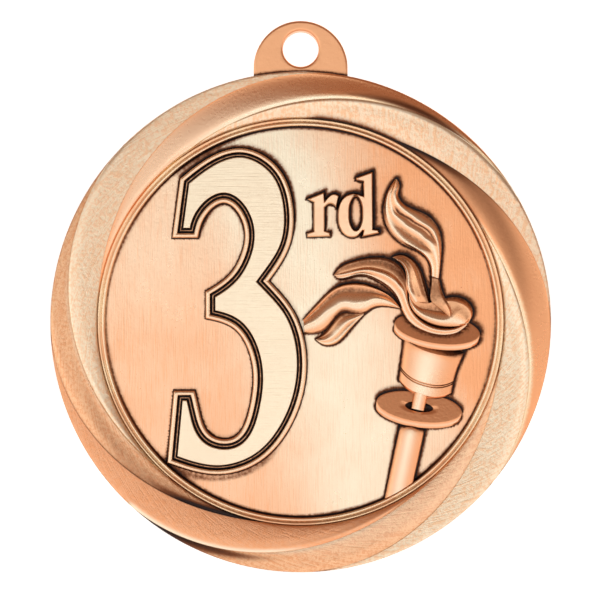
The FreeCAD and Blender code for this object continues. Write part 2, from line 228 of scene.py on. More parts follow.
# On a ramp, foot is the darkening under the step and brown painted shade, both on the inner
# half, which is made paler by a painted highlight of the given share.  outer is the darkening
# beside the next crest, and span the four shares of the way out where it begins, is full,
# begins to fall, and has gone.
RAMPS = [
    {"warmth": 1.0, "blasted": False, "foot": 0.5, "brown": 0.32, "polish": 0.00,
     "outer": 0.10, "span": (0.60, 0.86, 1.50, 2.00)},
    {"warmth": 0.9, "blasted": True, "foot": 0.3, "brown": 0.00, "polish": 0.30,
     "outer": 0.78, "span": (0.50, 0.80, 1.50, 2.00)},
    {"warmth": 0.7, "blasted": True, "foot": 0.9, "brown": 0.34, "polish": 0.05,
     "outer": 0.10, "span": (0.60, 0.86, 1.50, 2.00)},
    {"warmth": 1.0, "blasted": False, "foot": 0.3, "brown": 0.00, "polish": 0.45,
     "outer": 0.78, "span": (0.45, 0.62, 0.74, 0.92)},
]

# ---------------------------------------------------------------- flames
# A flame is its two edges from the tip on, and its ridges: each a place across from the
# first edge to the second, a height, and a shade value, as numbers or as stops along the flame.
# The shade value is black patina at the edges and painted shade between the ridges and on
# the upper sides; -0.75 is a painted highlight along a crest.
TALL_LEFT = [(11.35, 17.1), (10.8, 16.3), (10.2, 15.0), (9.93, 13.4), (10.4, 11.3),
             (12.3, 9.3), (14.5, 8.2), (15.5, 6.9), (15.64, 5.5)]
TALL_RIGHT = [(11.6, 17.05), (11.85, 16.3), (11.68, 15.2), (12.4, 14.1), (15.2, 12.7),
              (16.6, 10.9), (16.85, 8.0), (16.58, 5.2)]
TALL_RIDGES = [
    (0.0, [(0, 0.30), (0.1, 0.42), (1, 0.42)], 0.45),
    (0.12, [(0, 0.40), (0.12, 0.78), (1, 0.80)], -0.75),
    ([(0.3, 0.20), (0.42, 0.25), (0.52, 0.31), (0.65, 0.42), (0.78, 0.50)],
     [(0.33, 0.78), (0.50, 0.60), (0.68, 0.58), (0.80, 0.80)],
     [(0.36, 0.0), (0.52, 0.30), (0.68, 0.30), (0.78, 0.0)]),
    ([(0.3, 0.32), (0.43, 0.40), (0.6, 0.55), (0.7, 0.66), (0.8, 0.68)],
     [(0, 0.44), (0.15, 0.82), (1, 0.84)], -0.75),
    ([(0.3, 0.42), (0.43, 0.56), (0.6, 0.72), (0.7, 0.79), (0.8, 0.80)],
     [(0.22, 0.84), (0.36, 0.58), (0.60, 0.58), (0.73, 0.84)],
     [(0.22, 0.0), (0.34, 0.16), (0.60, 0.12), (0.72, 0.0)]),
    ([(0.3, 0.47), (0.43, 0.61), (0.6, 0.77), (0.7, 0.83), (0.8, 0.84)],
     [(0.22, 0.84), (0.34, 0.56), (0.62, 0.60), (0.73, 0.84)],
     [(0.22, 0.0), (0.30, 0.60), (0.62, 0.50), (0.73, 0.0)]),
    ([(0.0, 0.70), (0.43, 0.72), (0.6, 0.86), (1, 0.88)],
     [(0, 0.44), (0.15, 0.84), (1, 0.86)], -0.75),
    (1.0, [(0, 0.30), (0.1, 0.42), (1, 0.45)], 0.40),
]

STEM_LEFT = [(15.64, 5.5), (15.6, 4.0), (15.64, 2.5), (16.6, 1.6), (17.9, 0.5)]
STEM_RIGHT = [(16.58, 5.2), (16.85, 3.9), (17.3, 2.8), (17.9, 1.6), (17.9, 0.5)]
STEM_RIDGES = [
    (0.0, [(0, 0.55), (0.6, 0.95), (1, 0.90)], [(0, 0.5), (0.3, 0.25), (1, 0.3)]),
    (0.10, [(0, 0.70), (0.6, 1.05), (1, 1.0)], [(0, 0.6), (0.06, 0.22), (1, 0.22)]),
    (0.80, [(0, 0.70), (0.6, 1.12), (0.85, 1.18), (1, 1.0)],
     [(0, 0.6), (0.06, 0.22), (0.6, 0.2), (0.75, 0.0)]),
    (1.0, [(0, 0.60), (0.6, 0.95), (1, 0.9)], [(0, 0.5), (0.6, 0.35), (0.75, 0.0), (1, 0.1)]),
]

LONG_LEFT = [(4.0, 5.65), (4.7, 6.5), (6.5, 7.3), (8.9, 7.7), (11.0, 7.3), (12.4, 5.9),
             (12.75, 4.5), (13.0, 2.2), (14.6, 0.1), (16.7, -0.7), (18.7, -0.6), (19.9, -0.2)]
LONG_RIGHT = [(4.0, 5.65), (4.4, 5.25), (6.9, 5.55), (8.9, 5.05), (11.3, 3.1), (12.7, 0.4),
              (15.0, -1.2), (17.2, -1.6), (18.9, -1.2), (19.9, -0.4)]
LONG_RIDGES = [
    (0.0, [(0, 0.30), (0.08, 0.42), (0.40, 0.42), (0.52, 0.75), (0.62, 0.66), (1, 0.60)],
     [(0, 0.4), (0.36, 0.55), (0.48, 0.5), (0.54, 0.2), (0.60, 0.85), (0.86, 0.80), (0.96, 0.3)]),
    (0.10, [(0, 0.40), (0.08, 0.55), (0.40, 0.50), (0.52, 0.90), (0.62, 0.84), (0.86, 0.84),
            (1, 0.62)],
     [(0, 0.25), (0.30, 0.34), (0.44, 0.50), (0.52, 0.1), (0.60, 0.25), (0.86, 0.2), (1, 0.1)]),
    ([(0, 0.45), (0.15, 0.52), (0.25, 0.46), (0.42, 0.42), (0.5, 0.32), (0.6, 0.22), (1, 0.22)],
     [(0, 0.50), (0.1, 0.66), (0.40, 0.66), (0.52, 1.05), (0.86, 1.08), (1, 0.70)],
     [(0, 0.0), (0.2, 0.08), (0.42, 0.20), (0.5, 0.0)]),
    ([(0, 0.60), (0.15, 0.71), (0.25, 0.65), (0.34, 0.62), (0.42, 0.58), (0.5, 0.46),
      (0.6, 0.36), (1, 0.38)],
     [(0, 0.55), (0.08, 0.85), (0.2, 1.08), (0.4, 1.18), (0.88, 1.18), (1, 0.75)], -0.75),
    ([(0, 0.72), (0.15, 0.80), (0.25, 0.76), (0.42, 0.72), (0.5, 0.66), (0.6, 0.62), (1, 0.62)],
     [(0, 0.52), (0.08, 0.78), (0.2, 0.98), (0.4, 1.06), (0.88, 1.10), (1, 0.72)],
     [(0.2, 0.0), (0.35, 0.10), (0.8, 0.10), (0.9, 0.0)]),
    (0.88, [(0, 0.45), (0.1, 0.70), (0.5, 0.88), (0.88, 1.02), (1, 0.70)], -0.75),
    (1.0, [(0, 0.30), (0.1, 0.38), (0.45, 0.45), (0.62, 0.82), (0.9, 0.85), (1, 0.60)], 0.50),
]

ROLL_LEFT = [(13.0, 3.3), (14.1, 2.4), (15.6, 2.3), (16.4, 2.6), (17.3, 2.8), (18.3, 2.95),
             (19.4, 2.75), (20.4, 1.9), (20.6, 0.8), (20.1, -0.1)]
ROLL_RIGHT = [(13.0, 3.3), (13.0, 2.2), (14.6, 0.1), (16.7, -0.7), (18.7, -0.6), (19.8, -0.3)]
ROLL_RIDGES = [
    (0.0, [(0, 0.75), (0.3, 0.80), (0.5, 0.45), (1, 0.45)],
     [(0, 0.1), (0.3, 0.15), (0.45, 0.4), (1, 0.4)]),
    (0.14, [(0, 0.75), (0.3, 0.72), (0.52, 0.72), (0.7, 0.95), (1, 0.66)],
     [(0, 0.05), (0.35, 0.2), (0.6, 0.1), (0.7, 0.0)]),
    (0.48, [(0, 0.78), (0.3, 0.62), (0.55, 0.58), (0.72, 1.08), (0.88, 1.02), (1, 0.66)],
     [(0.05, 0.05), (0.3, 0.28), (0.55, 0.32), (0.68, 0.0)]),
    ([(0, 0.70), (0.4, 0.79), (0.6, 0.79), (0.8, 0.70), (1, 0.70)],
     [(0, 0.80), (0.2, 1.08), (0.6, 1.12), (0.85, 1.02), (1, 0.66)], -0.75),
    (0.92, [(0, 0.80), (0.2, 0.92), (0.8, 0.92), (1, 0.64)],
     [(0, 0.0), (0.15, 0.15), (0.8, 0.2), (1, 0)]),
    (1.0, 0.60, [(0, 0.1), (0.12, 0.6), (0.8, 0.8), (1, 0.3)]),
]

CURL_LEFT = [(11.0, 7.75), (12.1, 6.95), (12.65, 5.6), (12.65, 4.5), (13.0, 3.3), (14.2, 1.6)]
CURL_RIGHT = [(11.0, 7.75), (11.9, 8.05), (13.1, 7.7), (14.3, 6.3), (15.0, 4.2), (15.6, 1.9)]
CURL_RIDGES = [
    (0.0, [(0, 0.40), (0.1, 0.85), (0.7, 0.95), (1, 0.50)], [(0, 0.4), (0.12, 0.1), (1, 0.0)]),
    (0.12, [(0, 0.42), (0.15, 1.10), (0.7, 1.12), (1, 0.50)], -0.75),
    (0.32, [(0, 0.42), (0.15, 0.88), (0.5, 0.92), (0.8, 0.95), (1, 0.45)],
     [(0.05, 0.1), (0.2, 0.35), (0.5, 0.12), (0.9, 0.0)]),
    (0.60, [(0, 0.42), (0.2, 0.80), (0.5, 0.95), (0.8, 0.85), (1, 0.45)],
     [(0.05, 0.1), (0.2, 0.30), (0.5, 0.0), (1, 0.10)]),
    (0.86, [(0, 0.40), (0.2, 0.55), (0.8, 0.62), (1, 0.64)], [(0, 0.2), (0.5, 0.25), (1, 0.3)]),
    (1.0, [(0, 0.30), (0.2, 0.35), (1, 0.40)], [(0, 0.75), (0.8, 0.6), (1, 0.2)]),
]

LOW_LEFT = [(11.95, 1.6), (10.9, 2.95), (9.3, 3.95), (7.7, 4.5), (6.0, 4.6), (4.2, 4.1),
            (2.4, 2.6), (0.3, 0.3)]
LOW_RIGHT = [(11.95, 1.6), (10.2, 1.85), (8.6, 1.6), (7.4, 0.85), (6.4, 0.85), (5.3, 1.15),
             (4.6, 0.9), (4.0, 0.2), (3.4, -0.5), (2.7, -1.05), (1.7, -1.4), (0.5, -1.35)]
LOW_RIDGES = [
    (0.0, [(0, 0.35), (1, 0.40)], 0.45),
    (0.06, [(0, 0.60), (1, 0.66)], 0.05),
    ([(0, 0.2), (0.3, 0.22), (0.7, 0.18), (1, 0.15)], [(0, 0.55), (0.15, 0.42), (1, 0.44)],
     [(0, 0.12), (0.2, 0.30), (0.6, 0.34), (1, 0.2)]),
    ([(0, 0.50), (0.25, 0.52), (0.37, 0.61), (0.48, 0.66), (0.61, 0.64), (0.77, 0.50), (1, 0.50)],
     [(0, 0.60), (0.1, 0.82), (0.9, 0.88), (1, 0.70)], -0.75),
    ([(0, 0.62), (0.25, 0.66), (0.37, 0.73), (0.48, 0.77), (0.61, 0.75), (0.77, 0.62), (1, 0.62)],
     [(0, 0.58), (0.1, 0.74), (0.9, 0.78), (1, 0.60)], -0.75),
    (0.88, [(0, 0.50), (0.3, 0.66), (0.5, 0.58), (0.7, 0.62), (1, 0.55)],
     [(0.3, 0.0), (0.45, 0.30), (0.68, 0.25), (0.8, 0.0)]),
    (1.0, [(0, 0.32), (0.35, 0.36), (0.7, 0.36), (1, 0.32)],
     [(0, 0.5), (0.4, 0.75), (0.7, 0.75), (0.85, 0.45)]),
]

FORK_LEFT = [(7.6, 1.1), (6.4, 1.2), (5.3, 1.4), (4.4, 0.9), (3.7, 0.0), (3.1, -1.0), (1.8, -2.1)]
FORK_RIGHT = [(7.5, 0.8), (7.0, 0.3), (5.6, -1.3), (4.1, -2.65), (2.7, -2.75), (1.8, -2.1)]
FORK_RIDGES = [
    (0.0, [(0, 0.45), (0.3, 0.20), (0.6, 0.24), (1, 0.20)],
     [(0, 0.4), (0.2, 0.85), (0.6, 0.6), (1, 0.5)]),
    ([(0, 0.3), (0.5, 0.25), (1, 0.25)], [(0, 0.50), (0.3, 0.34), (0.6, 0.52), (1, 0.35)],
     [(0, 0.1), (0.25, 0.4), (0.5, 0.12), (1, 0.1)]),
    (0.58, [(0, 0.55), (0.4, 0.66), (0.9, 0.70), (1, 0.45)], -0.75),
    (0.72, [(0, 0.52), (0.4, 0.56), (0.9, 0.62), (1, 0.40)], [(0, 0.0), (0.3, 0.12), (0.6, 0.0)]),
    (0.88, [(0, 0.50), (0.4, 0.64), (0.9, 0.62), (1, 0.40)], -0.75),
    (1.0, [(0, 0.36), (1, 0.25)], 0.5),
]

FLAMES = [
    ("tall_tongue", "flame_tall", [(TALL_LEFT, TALL_RIGHT, TALL_RIDGES)]),
    ("stem_tongue", "flame_stem", [(STEM_LEFT, STEM_RIGHT, STEM_RIDGES)]),
    ("long_tongue", "flame_long", [(LONG_LEFT, LONG_RIGHT, LONG_RIDGES)]),
    ("rolled_tongue", "flame_roll", [(ROLL_LEFT, ROLL_RIGHT, ROLL_RIDGES)]),
    ("curled_tongue", "flame_curl", [(CURL_LEFT, CURL_RIGHT, CURL_RIDGES)]),
    ("low_tongue", "flame_low", [
        (LOW_LEFT, LOW_RIGHT, LOW_RIDGES),
        (FORK_LEFT, FORK_RIGHT, FORK_RIDGES),
    ]),
]


# ---------------------------------------------------------------- curves
def spline(points, count):
    """A natural cubic spline through the points, by chord length, at even parameters."""
    p = np.array(points, float)
    knots = np.concatenate([[0], np.cumsum(np.linalg.norm(np.diff(p, axis=0), axis=1))])
    t = np.linspace(0, knots[-1], count)
    if len(p) == 2:
        return p[0] + (p[1] - p[0]) * (t / knots[-1])[:, None]
    gap = np.diff(knots)
    size = len(p)
    system = np.eye(size)
    right = np.zeros_like(p)
    rows = np.arange(1, size - 1)
    system[rows, rows - 1] = gap[:-1]
    system[rows, rows] = 2 * (gap[:-1] + gap[1:])
    system[rows, rows + 1] = gap[1:]
    slope = np.diff(p, axis=0) / gap[:, None]
    right[1:-1] = 6 * np.diff(slope, axis=0)
    bend = np.linalg.solve(system, right)
    i = np.clip(np.searchsorted(knots, t, side="right") - 1, 0, size - 2)
    h = gap[i][:, None]
    a = (knots[i + 1] - t)[:, None] / h
    b = 1 - a
    cubic = (a**3 - a) * bend[i] + (b**3 - b) * bend[i + 1]
    return a * p[i] + b * p[i + 1] + cubic * h**2 / 6


def length_of(points):
    """The length of a line through points."""
    return np.linalg.norm(np.diff(points, axis=0), axis=1).sum()


def trace(outline, spacing):
    """Points round a closed outline, and the vector at each that moves it inwards by one.

    Along a run the vector is the run's left normal plus a share of its direction, and the
    share goes evenly from the corner's mitre at one end to the mitre at the other."""
    here, runs = outline
    lines = []
    for run in runs:
        ends = [here] + run
        rough = spline(ends, 40)
        lines.append(spline(ends, max(3, int(length_of(rough) / spacing) + 1)))
        here = run[-1]
    ways = [np.gradient(line, axis=0) for line in lines]
    ways = [way / np.linalg.norm(way, axis=1)[:, None] for way in ways]
    count = len(lines)
    shares = []
    for i in range(count):
        behind = ways[i][-1]
        ahead = ways[(i + 1) % count][0]
        turn = behind[0] * ahead[1] - behind[1] * ahead[0]
        shares.append(turn / max(0.35, 1 + behind @ ahead))
    points = []
    inward = []
    for i in range(count):
        line = lines[i][:-1]
        way = ways[i][:-1]
        part = np.linspace(0, 1, len(lines[i]))[:-1, None]
        share = shares[i - 1] * (1 - part) - shares[i] * part
        normal = np.stack([-way[:, 1], way[:, 0]], axis=1)
        points.append(line)
        inward.append(normal + way * share)
    return np.concatenate(points), np.concatenate(inward)


def clock(angle, radius):
    """The point at a clock angle in degrees and a radius about the disc's centre."""
    turn = np.radians(angle)
    return np.stack([radius * np.sin(turn), radius * np.cos(turn)], axis=-1)


def climb(part):
    """How far out a border boundary is, from the ring at 0 to the disc's edge at 1."""
    return TANGENCY * part * part * (3 - 2 * part) + (1 - TANGENCY) * part


def ease(value, low, high):
    """0 below low, 1 above high, and a smooth step between them."""
    part = np.clip((value - low) / (high - low), 0, 1)
    return part * part * (3 - 2 * part)


def through(stops, value):
    """A height or a shade eased from one stop (place, number) to the next."""
    places, numbers = np.array(stops, float).T
    value = np.asarray(value, float)
    i = np.clip(np.searchsorted(places, value, side="right") - 1, 0, len(places) - 2)
    part = ease(value, places[i], places[i + 1])
    return numbers[i] * (1 - part) + numbers[i + 1] * part


# ---------------------------------------------------------------- meshes
def grid_faces(rows, columns, closed_rows=False, closed_columns=False):
    """The quads of a grid, row by row, closing it round where asked."""
    i = np.arange(rows if closed_rows else rows - 1)
    j = np.arange(columns if closed_columns else columns - 1)
    i, j = np.meshgrid(i, j, indexing="ij")
    k = (i + 1) % rows
    m = (j + 1) % columns
    quads = [i * columns + j, i * columns + m, k * columns + m, k * columns + j]
    return np.stack(quads, axis=-1).reshape(-1, 4).tolist()


def lifted(flat, tall):
    """Places on the face (x, z) and their heights as one list of (x, height, z)."""
    tall = np.broadcast_to(tall, flat.shape[:2])
    return np.stack([flat[..., 0], tall, flat[..., 1]], axis=-1).reshape(-1, 3)


def build(name, verts, faces, patina_and_painted_light, flow=None, sharp=38):
    """A closed piece from points in millimetres: x, height above the field, z from the centre.

    The shade attribute is 1 where the plate is left black, 0 where it is plain and -1 where it
    has its palest painted highlight; above 0 it holds black patina in the hollows and painted
    shade.  flow gives a material three more numbers at each point: on a strip of the border its
    place round, outwards and across, and on the plate its painted highlight."""
    x, tall, z = np.asarray(verts, float).T
    place = np.stack([x, FLOOR - tall, z + DISC_CENTRE], axis=1) * MM
    mesh = bpy.data.meshes.new(name)
    mesh.from_pydata(place.tolist(), [], faces)
    shade = mesh.attributes.new("patina_and_painted_light", "FLOAT", "POINT")
    shade.data.foreach_set("value", np.ascontiguousarray(patina_and_painted_light, np.float32).ravel())
    if flow is not None:
        lines = mesh.attributes.new("flow", "FLOAT_VECTOR", "POINT")
        lines.data.foreach_set("vector", np.ascontiguousarray(flow, np.float32).ravel())
    shell = bmesh.new()
    shell.from_mesh(mesh)
    bmesh.ops.remove_doubles(shell, verts=shell.verts, dist=1e-7)
    bmesh.ops.recalc_face_normals(shell, faces=shell.faces)
    shell.to_mesh(mesh)
    shell.free()
    mesh.shade_smooth()
    mesh.set_sharp_from_angle(angle=math.radians(sharp))
    piece = bpy.data.objects.new(name, mesh)
    bpy.context.scene.collection.objects.link(piece)
    return piece


def stands_for(piece, node, material):
    """Gives a piece its material, and lets it stand for its node."""
    piece.data.materials.append(material)
    parts = frame["record"]["subparts"]
    slot = next(part["material_slot"] for part in parts if part["node"] == node)
    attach(piece, "root")
    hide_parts(node)


def joined(blocks):
    """Several blocks of (verts, faces, patina and painted light) as one."""
    starts = np.cumsum([0] + [len(block[0]) for block in blocks])
    verts = np.concatenate([block[0] for block in blocks])
    patina_and_painted_light = np.concatenate([block[2] for block in blocks])
    faces = []
    for block, start in zip(blocks, starts):
        faces += [[i + start for i in face] for face in block[1]]
    return verts, faces, patina_and_painted_light


def carry(outline, profile, spacing, ring=False):
    """A profile of (inset, height, patina and painted light) carried round an outline.

    A vertex is the outline's point plus inset times its inward vector, at the profile's
    height.  A ring's profile joins its own start."""
    profile = np.array(profile, float)
    points, inward = trace(outline, spacing)
    rows = len(points)
    columns = len(profile)
    flat = points[:, None, :] + profile[None, :, 0, None] * inward[:, None, :]
    verts = lifted(flat, profile[:, 1])
    return verts, grid_faces(rows, columns, True, ring), np.tile(profile[:, 2], rows)


def raised(outline, profile, spacing):
    """A carried profile closed by a flat top and a flat foot."""
    verts, faces, patina_and_painted_light = carry(outline, profile, spacing)
    columns = len(profile)
    first = np.arange(0, len(verts), columns)
    faces = faces + [first.tolist(), (first + columns - 1).tolist()]
    return verts, faces, patina_and_painted_light


def raised_with_hole(outline, hole, profile, spacing):
    """A carried profile round an outline and round its hole, each cap in two halves."""
    walls = [carry(shape, profile, spacing) for shape in (outline, hole)]
    verts, faces, patina_and_painted_light = joined(walls)
    columns = len(profile)
    outer_count = len(trace(outline, spacing)[0])
    hole_count = len(verts) // columns - outer_count
    half = hole_count // 2
    for column in (0, columns - 1):
        outer = np.arange(outer_count) * columns + column
        inner = (outer_count + np.arange(hole_count)) * columns + column
        gaps = np.linalg.norm(verts[outer][:, None, :] - verts[inner[[0, half]]][None], axis=2)
        near = gaps.argmin(axis=0)
        turned = np.roll(outer, -near[0]).tolist()
        reach = int((near[1] - near[0]) % outer_count)
        there = inner[:half + 1].tolist()
        back = inner[half:].tolist() + [int(inner[0])]
        faces.append(turned[:reach + 1] + back)
        faces.append(turned[reach:] + turned[:1] + there)
    return verts, faces, patina_and_painted_light


def spun(radius, tall, turns):
    """Points at radii and heights turned about the disc's axis."""
    angle = np.arange(turns) * 2 * math.pi / turns
    way = np.stack([np.sin(angle), np.cos(angle)], axis=1)
    return lifted(radius[None, :, None] * way[:, None, :], tall)


def revolved(profile, turns):
    """A (radius, height) profile turned about the disc's axis, where it starts and ends."""
    radius, tall = np.array(profile[1:-1], float).T
    verts = spun(radius, tall, turns)
    columns = len(radius)
    faces = grid_faces(turns, columns, True)
    first = len(verts)
    here = np.arange(turns)
    there = (here + 1) % turns
    faces += np.stack([here * columns, there * columns, np.full(turns, first)], axis=1).tolist()
    last = columns - 1
    rim = [here * columns + last, np.full(turns, first + 1), there * columns + last]
    faces += np.stack(rim, axis=1).tolist()
    poles = [[0, profile[0][1], 0], [0, profile[-1][1], 0]]
    return np.concatenate([verts, poles]), faces


def slab(top, tall, patina_and_painted_light, foot=0.10):
    """A sculpted strip: a grid of points and heights, closed by skirts and a flat foot.

    The skirt widens the strip by foot, as the draft of a die does, and is left black."""
    rows, columns = tall.shape
    across = top[:, -1] - top[:, 0]
    across = across / np.maximum(np.linalg.norm(across, axis=1)[:, None], 1e-6)
    left = top[:, :1] - across[:, None, :] * foot
    right = top[:, -1:] + across[:, None, :] * foot
    flat = np.concatenate([left, top, right], axis=1)
    ground = np.full((rows, 1), BURIED)
    height = np.concatenate([ground, tall, ground], axis=1)
    black = np.ones((rows, 1))
    dark = np.concatenate([black, patina_and_painted_light, black], axis=1)
    verts = lifted(flat, height)
    wide = columns + 2
    faces = grid_faces(rows, wide)
    edge = np.arange(wide)
    faces.append(edge.tolist())
    faces.append((edge + (rows - 1) * wide).tolist())
    side = np.arange(rows) * wide
    under = np.stack([side[:-1], side[:-1] + wide - 1, side[1:] + wide - 1, side[1:]], axis=1)
    faces += under.tolist()
    return verts, faces, dark.ravel()


def along(stops, u):
    """A number, or numbers eased between (u, number) stops, at each u."""
    if isinstance(stops, (int, float)):
        return np.full(len(u), float(stops))
    return through([(-1, stops[0][1])] + list(stops) + [(2, stops[-1][1])], u)


def tongue(left, right, ridges):
    """A flame: a grid between two edges, u along it from the tip and v across it.

    A point is a straight share v of the way from the left edge to the right one.  The
    height and the shade value, patina with painted shade and painted highlight, go with an
    eased step from each ridge to the next, and a ridge is its place across, its height and its
    shade value, each a number or stops along u."""
    rows, columns = FLAME_SHAPE
    u = np.linspace(0, 1, rows)
    v = np.linspace(0, 1, columns)
    a = spline(left, rows)
    b = spline(right, rows)
    top = a[:, None, :] * (1 - v[None, :, None]) + b[:, None, :] * v[None, :, None]
    lines = [[along(stops, u) for stops in ridge] for ridge in ridges]
    tall = np.repeat(lines[0][1][:, None], columns, axis=1)
    dark = np.repeat(lines[0][2][:, None], columns, axis=1)
    for before, after in zip(lines, lines[1:]):
        low = before[0][:, None]
        high = np.maximum(after[0][:, None], low + 0.001)
        part = ease(v[None, :], low, high)
        tall = tall + (after[1] - before[1])[:, None] * part
        dark = dark + (after[2] - before[2])[:, None] * part
    return slab(top, tall, np.clip(dark, -1, 1))


def nearest(points, lines):
    """The distance from each point to the nearest of the lines' points."""
    best = np.full(len(points), 1e9)
    for some in np.array_split(lines, max(1, len(lines) // 80)):
        away = points[:, None] - some[None]
        best = np.minimum(best, np.hypot(away[..., 0], away[..., 1]).min(axis=1))
    return best


# ---------------------------------------------------------------- materials
class Value:
    """A shader value: arithmetic on it adds the Math nodes."""

    def __init__(self, nodes, output):
        self.nodes = nodes
        self.output = output

    def math(self, operation, other, clamp=False):
        settings = {"operation": operation, "use_clamp": clamp}
        return self.nodes.node("ShaderNodeMath", settings, {0: self, 1: other})

    def __add__(self, other):
        return self.math("ADD", other)

    __radd__ = __add__

    def __mul__(self, other):
        return self.math("MULTIPLY", other)

    __rmul__ = __mul__

    def __sub__(self, other):
        return self.math("SUBTRACT", other)

    def __rsub__(self, other):
        return self * -1.0 + other

    def clamped(self):
        return self.math("ADD", 0.0, clamp=True)


class Nodes:
    """The nodes of a material or of the world."""

    def __init__(self, tree):
        self.tree = tree

    def node(self, kind, settings=None, inputs=None, output=0):
        """Adds a node: its settings first, then the values or links of its sockets."""
        made = self.tree.nodes.new(kind)
        for key, value in (settings or {}).items():
            setattr(made, key, value)
        for key, value in (inputs or {}).items():
            self.put(made.inputs[key], value)
        return Value(self, made.outputs[output])

    def put(self, socket, value):
        """Links a value to a socket, or sets it."""
        if isinstance(value, Value):
            self.tree.links.new(value.output, socket)
        else:
            socket.default_value = value

    def place(self, scale=(1, 1, 1)):
        """Object coordinates in millimetres, stretched along each axis."""
        where = self.node("ShaderNodeTexCoord", output="Object")
        size = tuple(value / MM for value in scale)
        return self.node("ShaderNodeMapping", None, {"Vector": where, "Scale": size})

    def attribute(self, name, output):
        """A mesh attribute."""
        return self.node("ShaderNodeAttribute", {"attribute_name": name}, output=output)

    def part(self, vector, axis):
        """One axis of a vector."""
        return self.node("ShaderNodeSeparateXYZ", None, {0: vector}, output=axis)

    def noise(self, vector, scale, detail=3.0, rough=0.5):
        """Fractal noise, 0 to 1, of so many lumps to the millimetre."""
        inputs = {"Vector": vector, "Scale": scale, "Detail": detail, "Roughness": rough}
        return self.node("ShaderNodeTexNoise", {"noise_dimensions": "3D"}, inputs)

    def level(self, value, low, high):
        """0 where a value is below low, 1 above high, eased between."""
        inputs = {"Value": value, "From Min": low, "From Max": high}
        return self.node("ShaderNodeMapRange", {"interpolation_type": "SMOOTHSTEP"}, inputs)

    def blend(self, share, one, other):
        """A mix of two colours."""
        inputs = {0: share, 6: one, 7: other}
        return self.node("ShaderNodeMix", {"data_type": "RGBA"}, inputs, output=2)

    def bump(self, height, strength, distance):
        """A bumped normal; the distance is in millimetres."""
        inputs = {"Height": height, "Strength": strength, "Distance": distance * MM}
        return self.node("ShaderNodeBump", None, inputs)


def between(one, other, share):
    """A colour a share of the way from one to the other."""
    return np.array(one) * (1 - share) + np.array(other) * share


def plated(name, paler, worn, roughness, grain, deep=0.05, spread=1.0, ragged=1.0):
    """Antique copper plate: made pale by its painted highlights, going through brown to black by
    its black patina and painted shade.

    The first two colours, the paler and the worn, are what its bright part drifts between,
    by patches as far as spread says.  grain gives a height for the bump, deep millimetres from
    low to high, and a share of the worn colour.  ragged is how broken the patina and painted
    shade are."""
    looks = bpy.context.scene.medal_looks
    material = bpy.data.materials.new(name)
    material.use_nodes = True
    nodes = Nodes(material.node_tree)
    surface = material.node_tree.nodes["Principled BSDF"].inputs
    # Above 0 the shade attribute is black patina in the hollows and painted shade; below 0 it is a
    # painted highlight, blended towards pale.
    patina_and_painted_light = nodes.attribute("patina_and_painted_light", "Fac")
    dark = patina_and_painted_light.clamped()
    polish = (patina_and_painted_light * -1.0).clamped()
    patches = nodes.noise(nodes.place(), 0.15, 4.0, 0.6)
    speckle = nodes.noise(nodes.place(), 2.8, 4.0, 0.65)
    breaks = (speckle - 0.5) * nodes.level(dark, 0.03, 0.35) * looks.breakup * ragged
    patina_and_shade = (dark + breaks).clamped()
    height, fleck = grain(nodes)
    drift = (nodes.level(patches, 0.32, 0.68) * looks.patchiness * spread + fleck).clamped()
    plain = nodes.blend(drift, (*paler, 1), (*worn, 1))
    metal = nodes.blend(polish, plain, (*looks.pale, 1))
    brown = nodes.blend(nodes.level(patina_and_shade, 0.02, 0.50), metal, (*looks.umber, 1))
    colour = nodes.blend(nodes.level(patina_and_shade, 0.38, 0.85), brown, (*looks.black, 1))
    rough = (speckle - 0.5) * 0.10 + (patches - 0.5) * 0.10 + patina_and_shade * 0.20 + roughness
    nodes.put(surface["Base Color"], colour)
    nodes.put(surface["Metallic"], 1.0 - nodes.level(patina_and_shade, 0.45, 1.0) * 0.5)
    nodes.put(surface["Roughness"], rough.clamped())
    nodes.put(surface["Normal"], nodes.bump(height, looks.grain, deep))
    return material


def upright_brushing(nodes):
    """Fine scratches up the face, over a slight unevenness; flow's x is the field's painted
    highlight, which drifts it towards the paler colour.
    """
    polish = nodes.part(nodes.attribute("flow", "Vector"), "X")
    fine = nodes.noise(nodes.place((6.0, 1.0, 0.30)), 1.0, 3.0, 0.6)
    uneven = nodes.noise(nodes.place(), 2.2, 3.0, 0.6)
    return fine + uneven * 0.6, 0.92 - polish + nodes.level(fine, 0.45, 0.75) * 0.2


def level_brushing(nodes):
    """Fine scratches across the face."""
    fine = nodes.noise(nodes.place((0.22, 1.0, 5.0)), 1.0, 3.0, 0.6)
    return fine, nodes.level(fine, 0.50, 0.75) * 0.30


def satin(nodes):
    """A smooth plated surface, barely uneven."""
    fine = nodes.noise(nodes.place(), 3.2, 3.0, 0.55)
    return fine * 0.5, nodes.level(fine, 0.45, 0.80) * 0.15


def blasted(nodes):
    """A blasted surface: pits that drag outwards, fading out towards the strip's first edge."""
    flow = nodes.attribute("flow", "Vector")
    drawn = nodes.node("ShaderNodeMapping", None, {"Vector": flow, "Scale": (2.6, 0.6, 0.0)})
    streak = nodes.noise(drawn, 1.0, 4.0, 0.65)
    pits = nodes.noise(nodes.place(), 2.6, 5.0, 0.7)
    fade = nodes.level(nodes.part(flow, "Z"), 0.08, 0.40)
    pitted = streak * 0.9 + pits
    return pitted * fade, nodes.level(pitted, 0.88, 1.06) * 0.85


def satin_with_crest_highlight(nodes):
    """Satin, in the worn colour, with a painted highlight in the paler colour beside the crest."""
    across = nodes.part(nodes.attribute("flow", "Vector"), "Z")
    fine = nodes.noise(nodes.place(), 3.2, 3.0, 0.55)
    return fine * 0.5, 1.0 - nodes.level(across + (fine - 0.5) * 0.15, 0.80, 0.99)


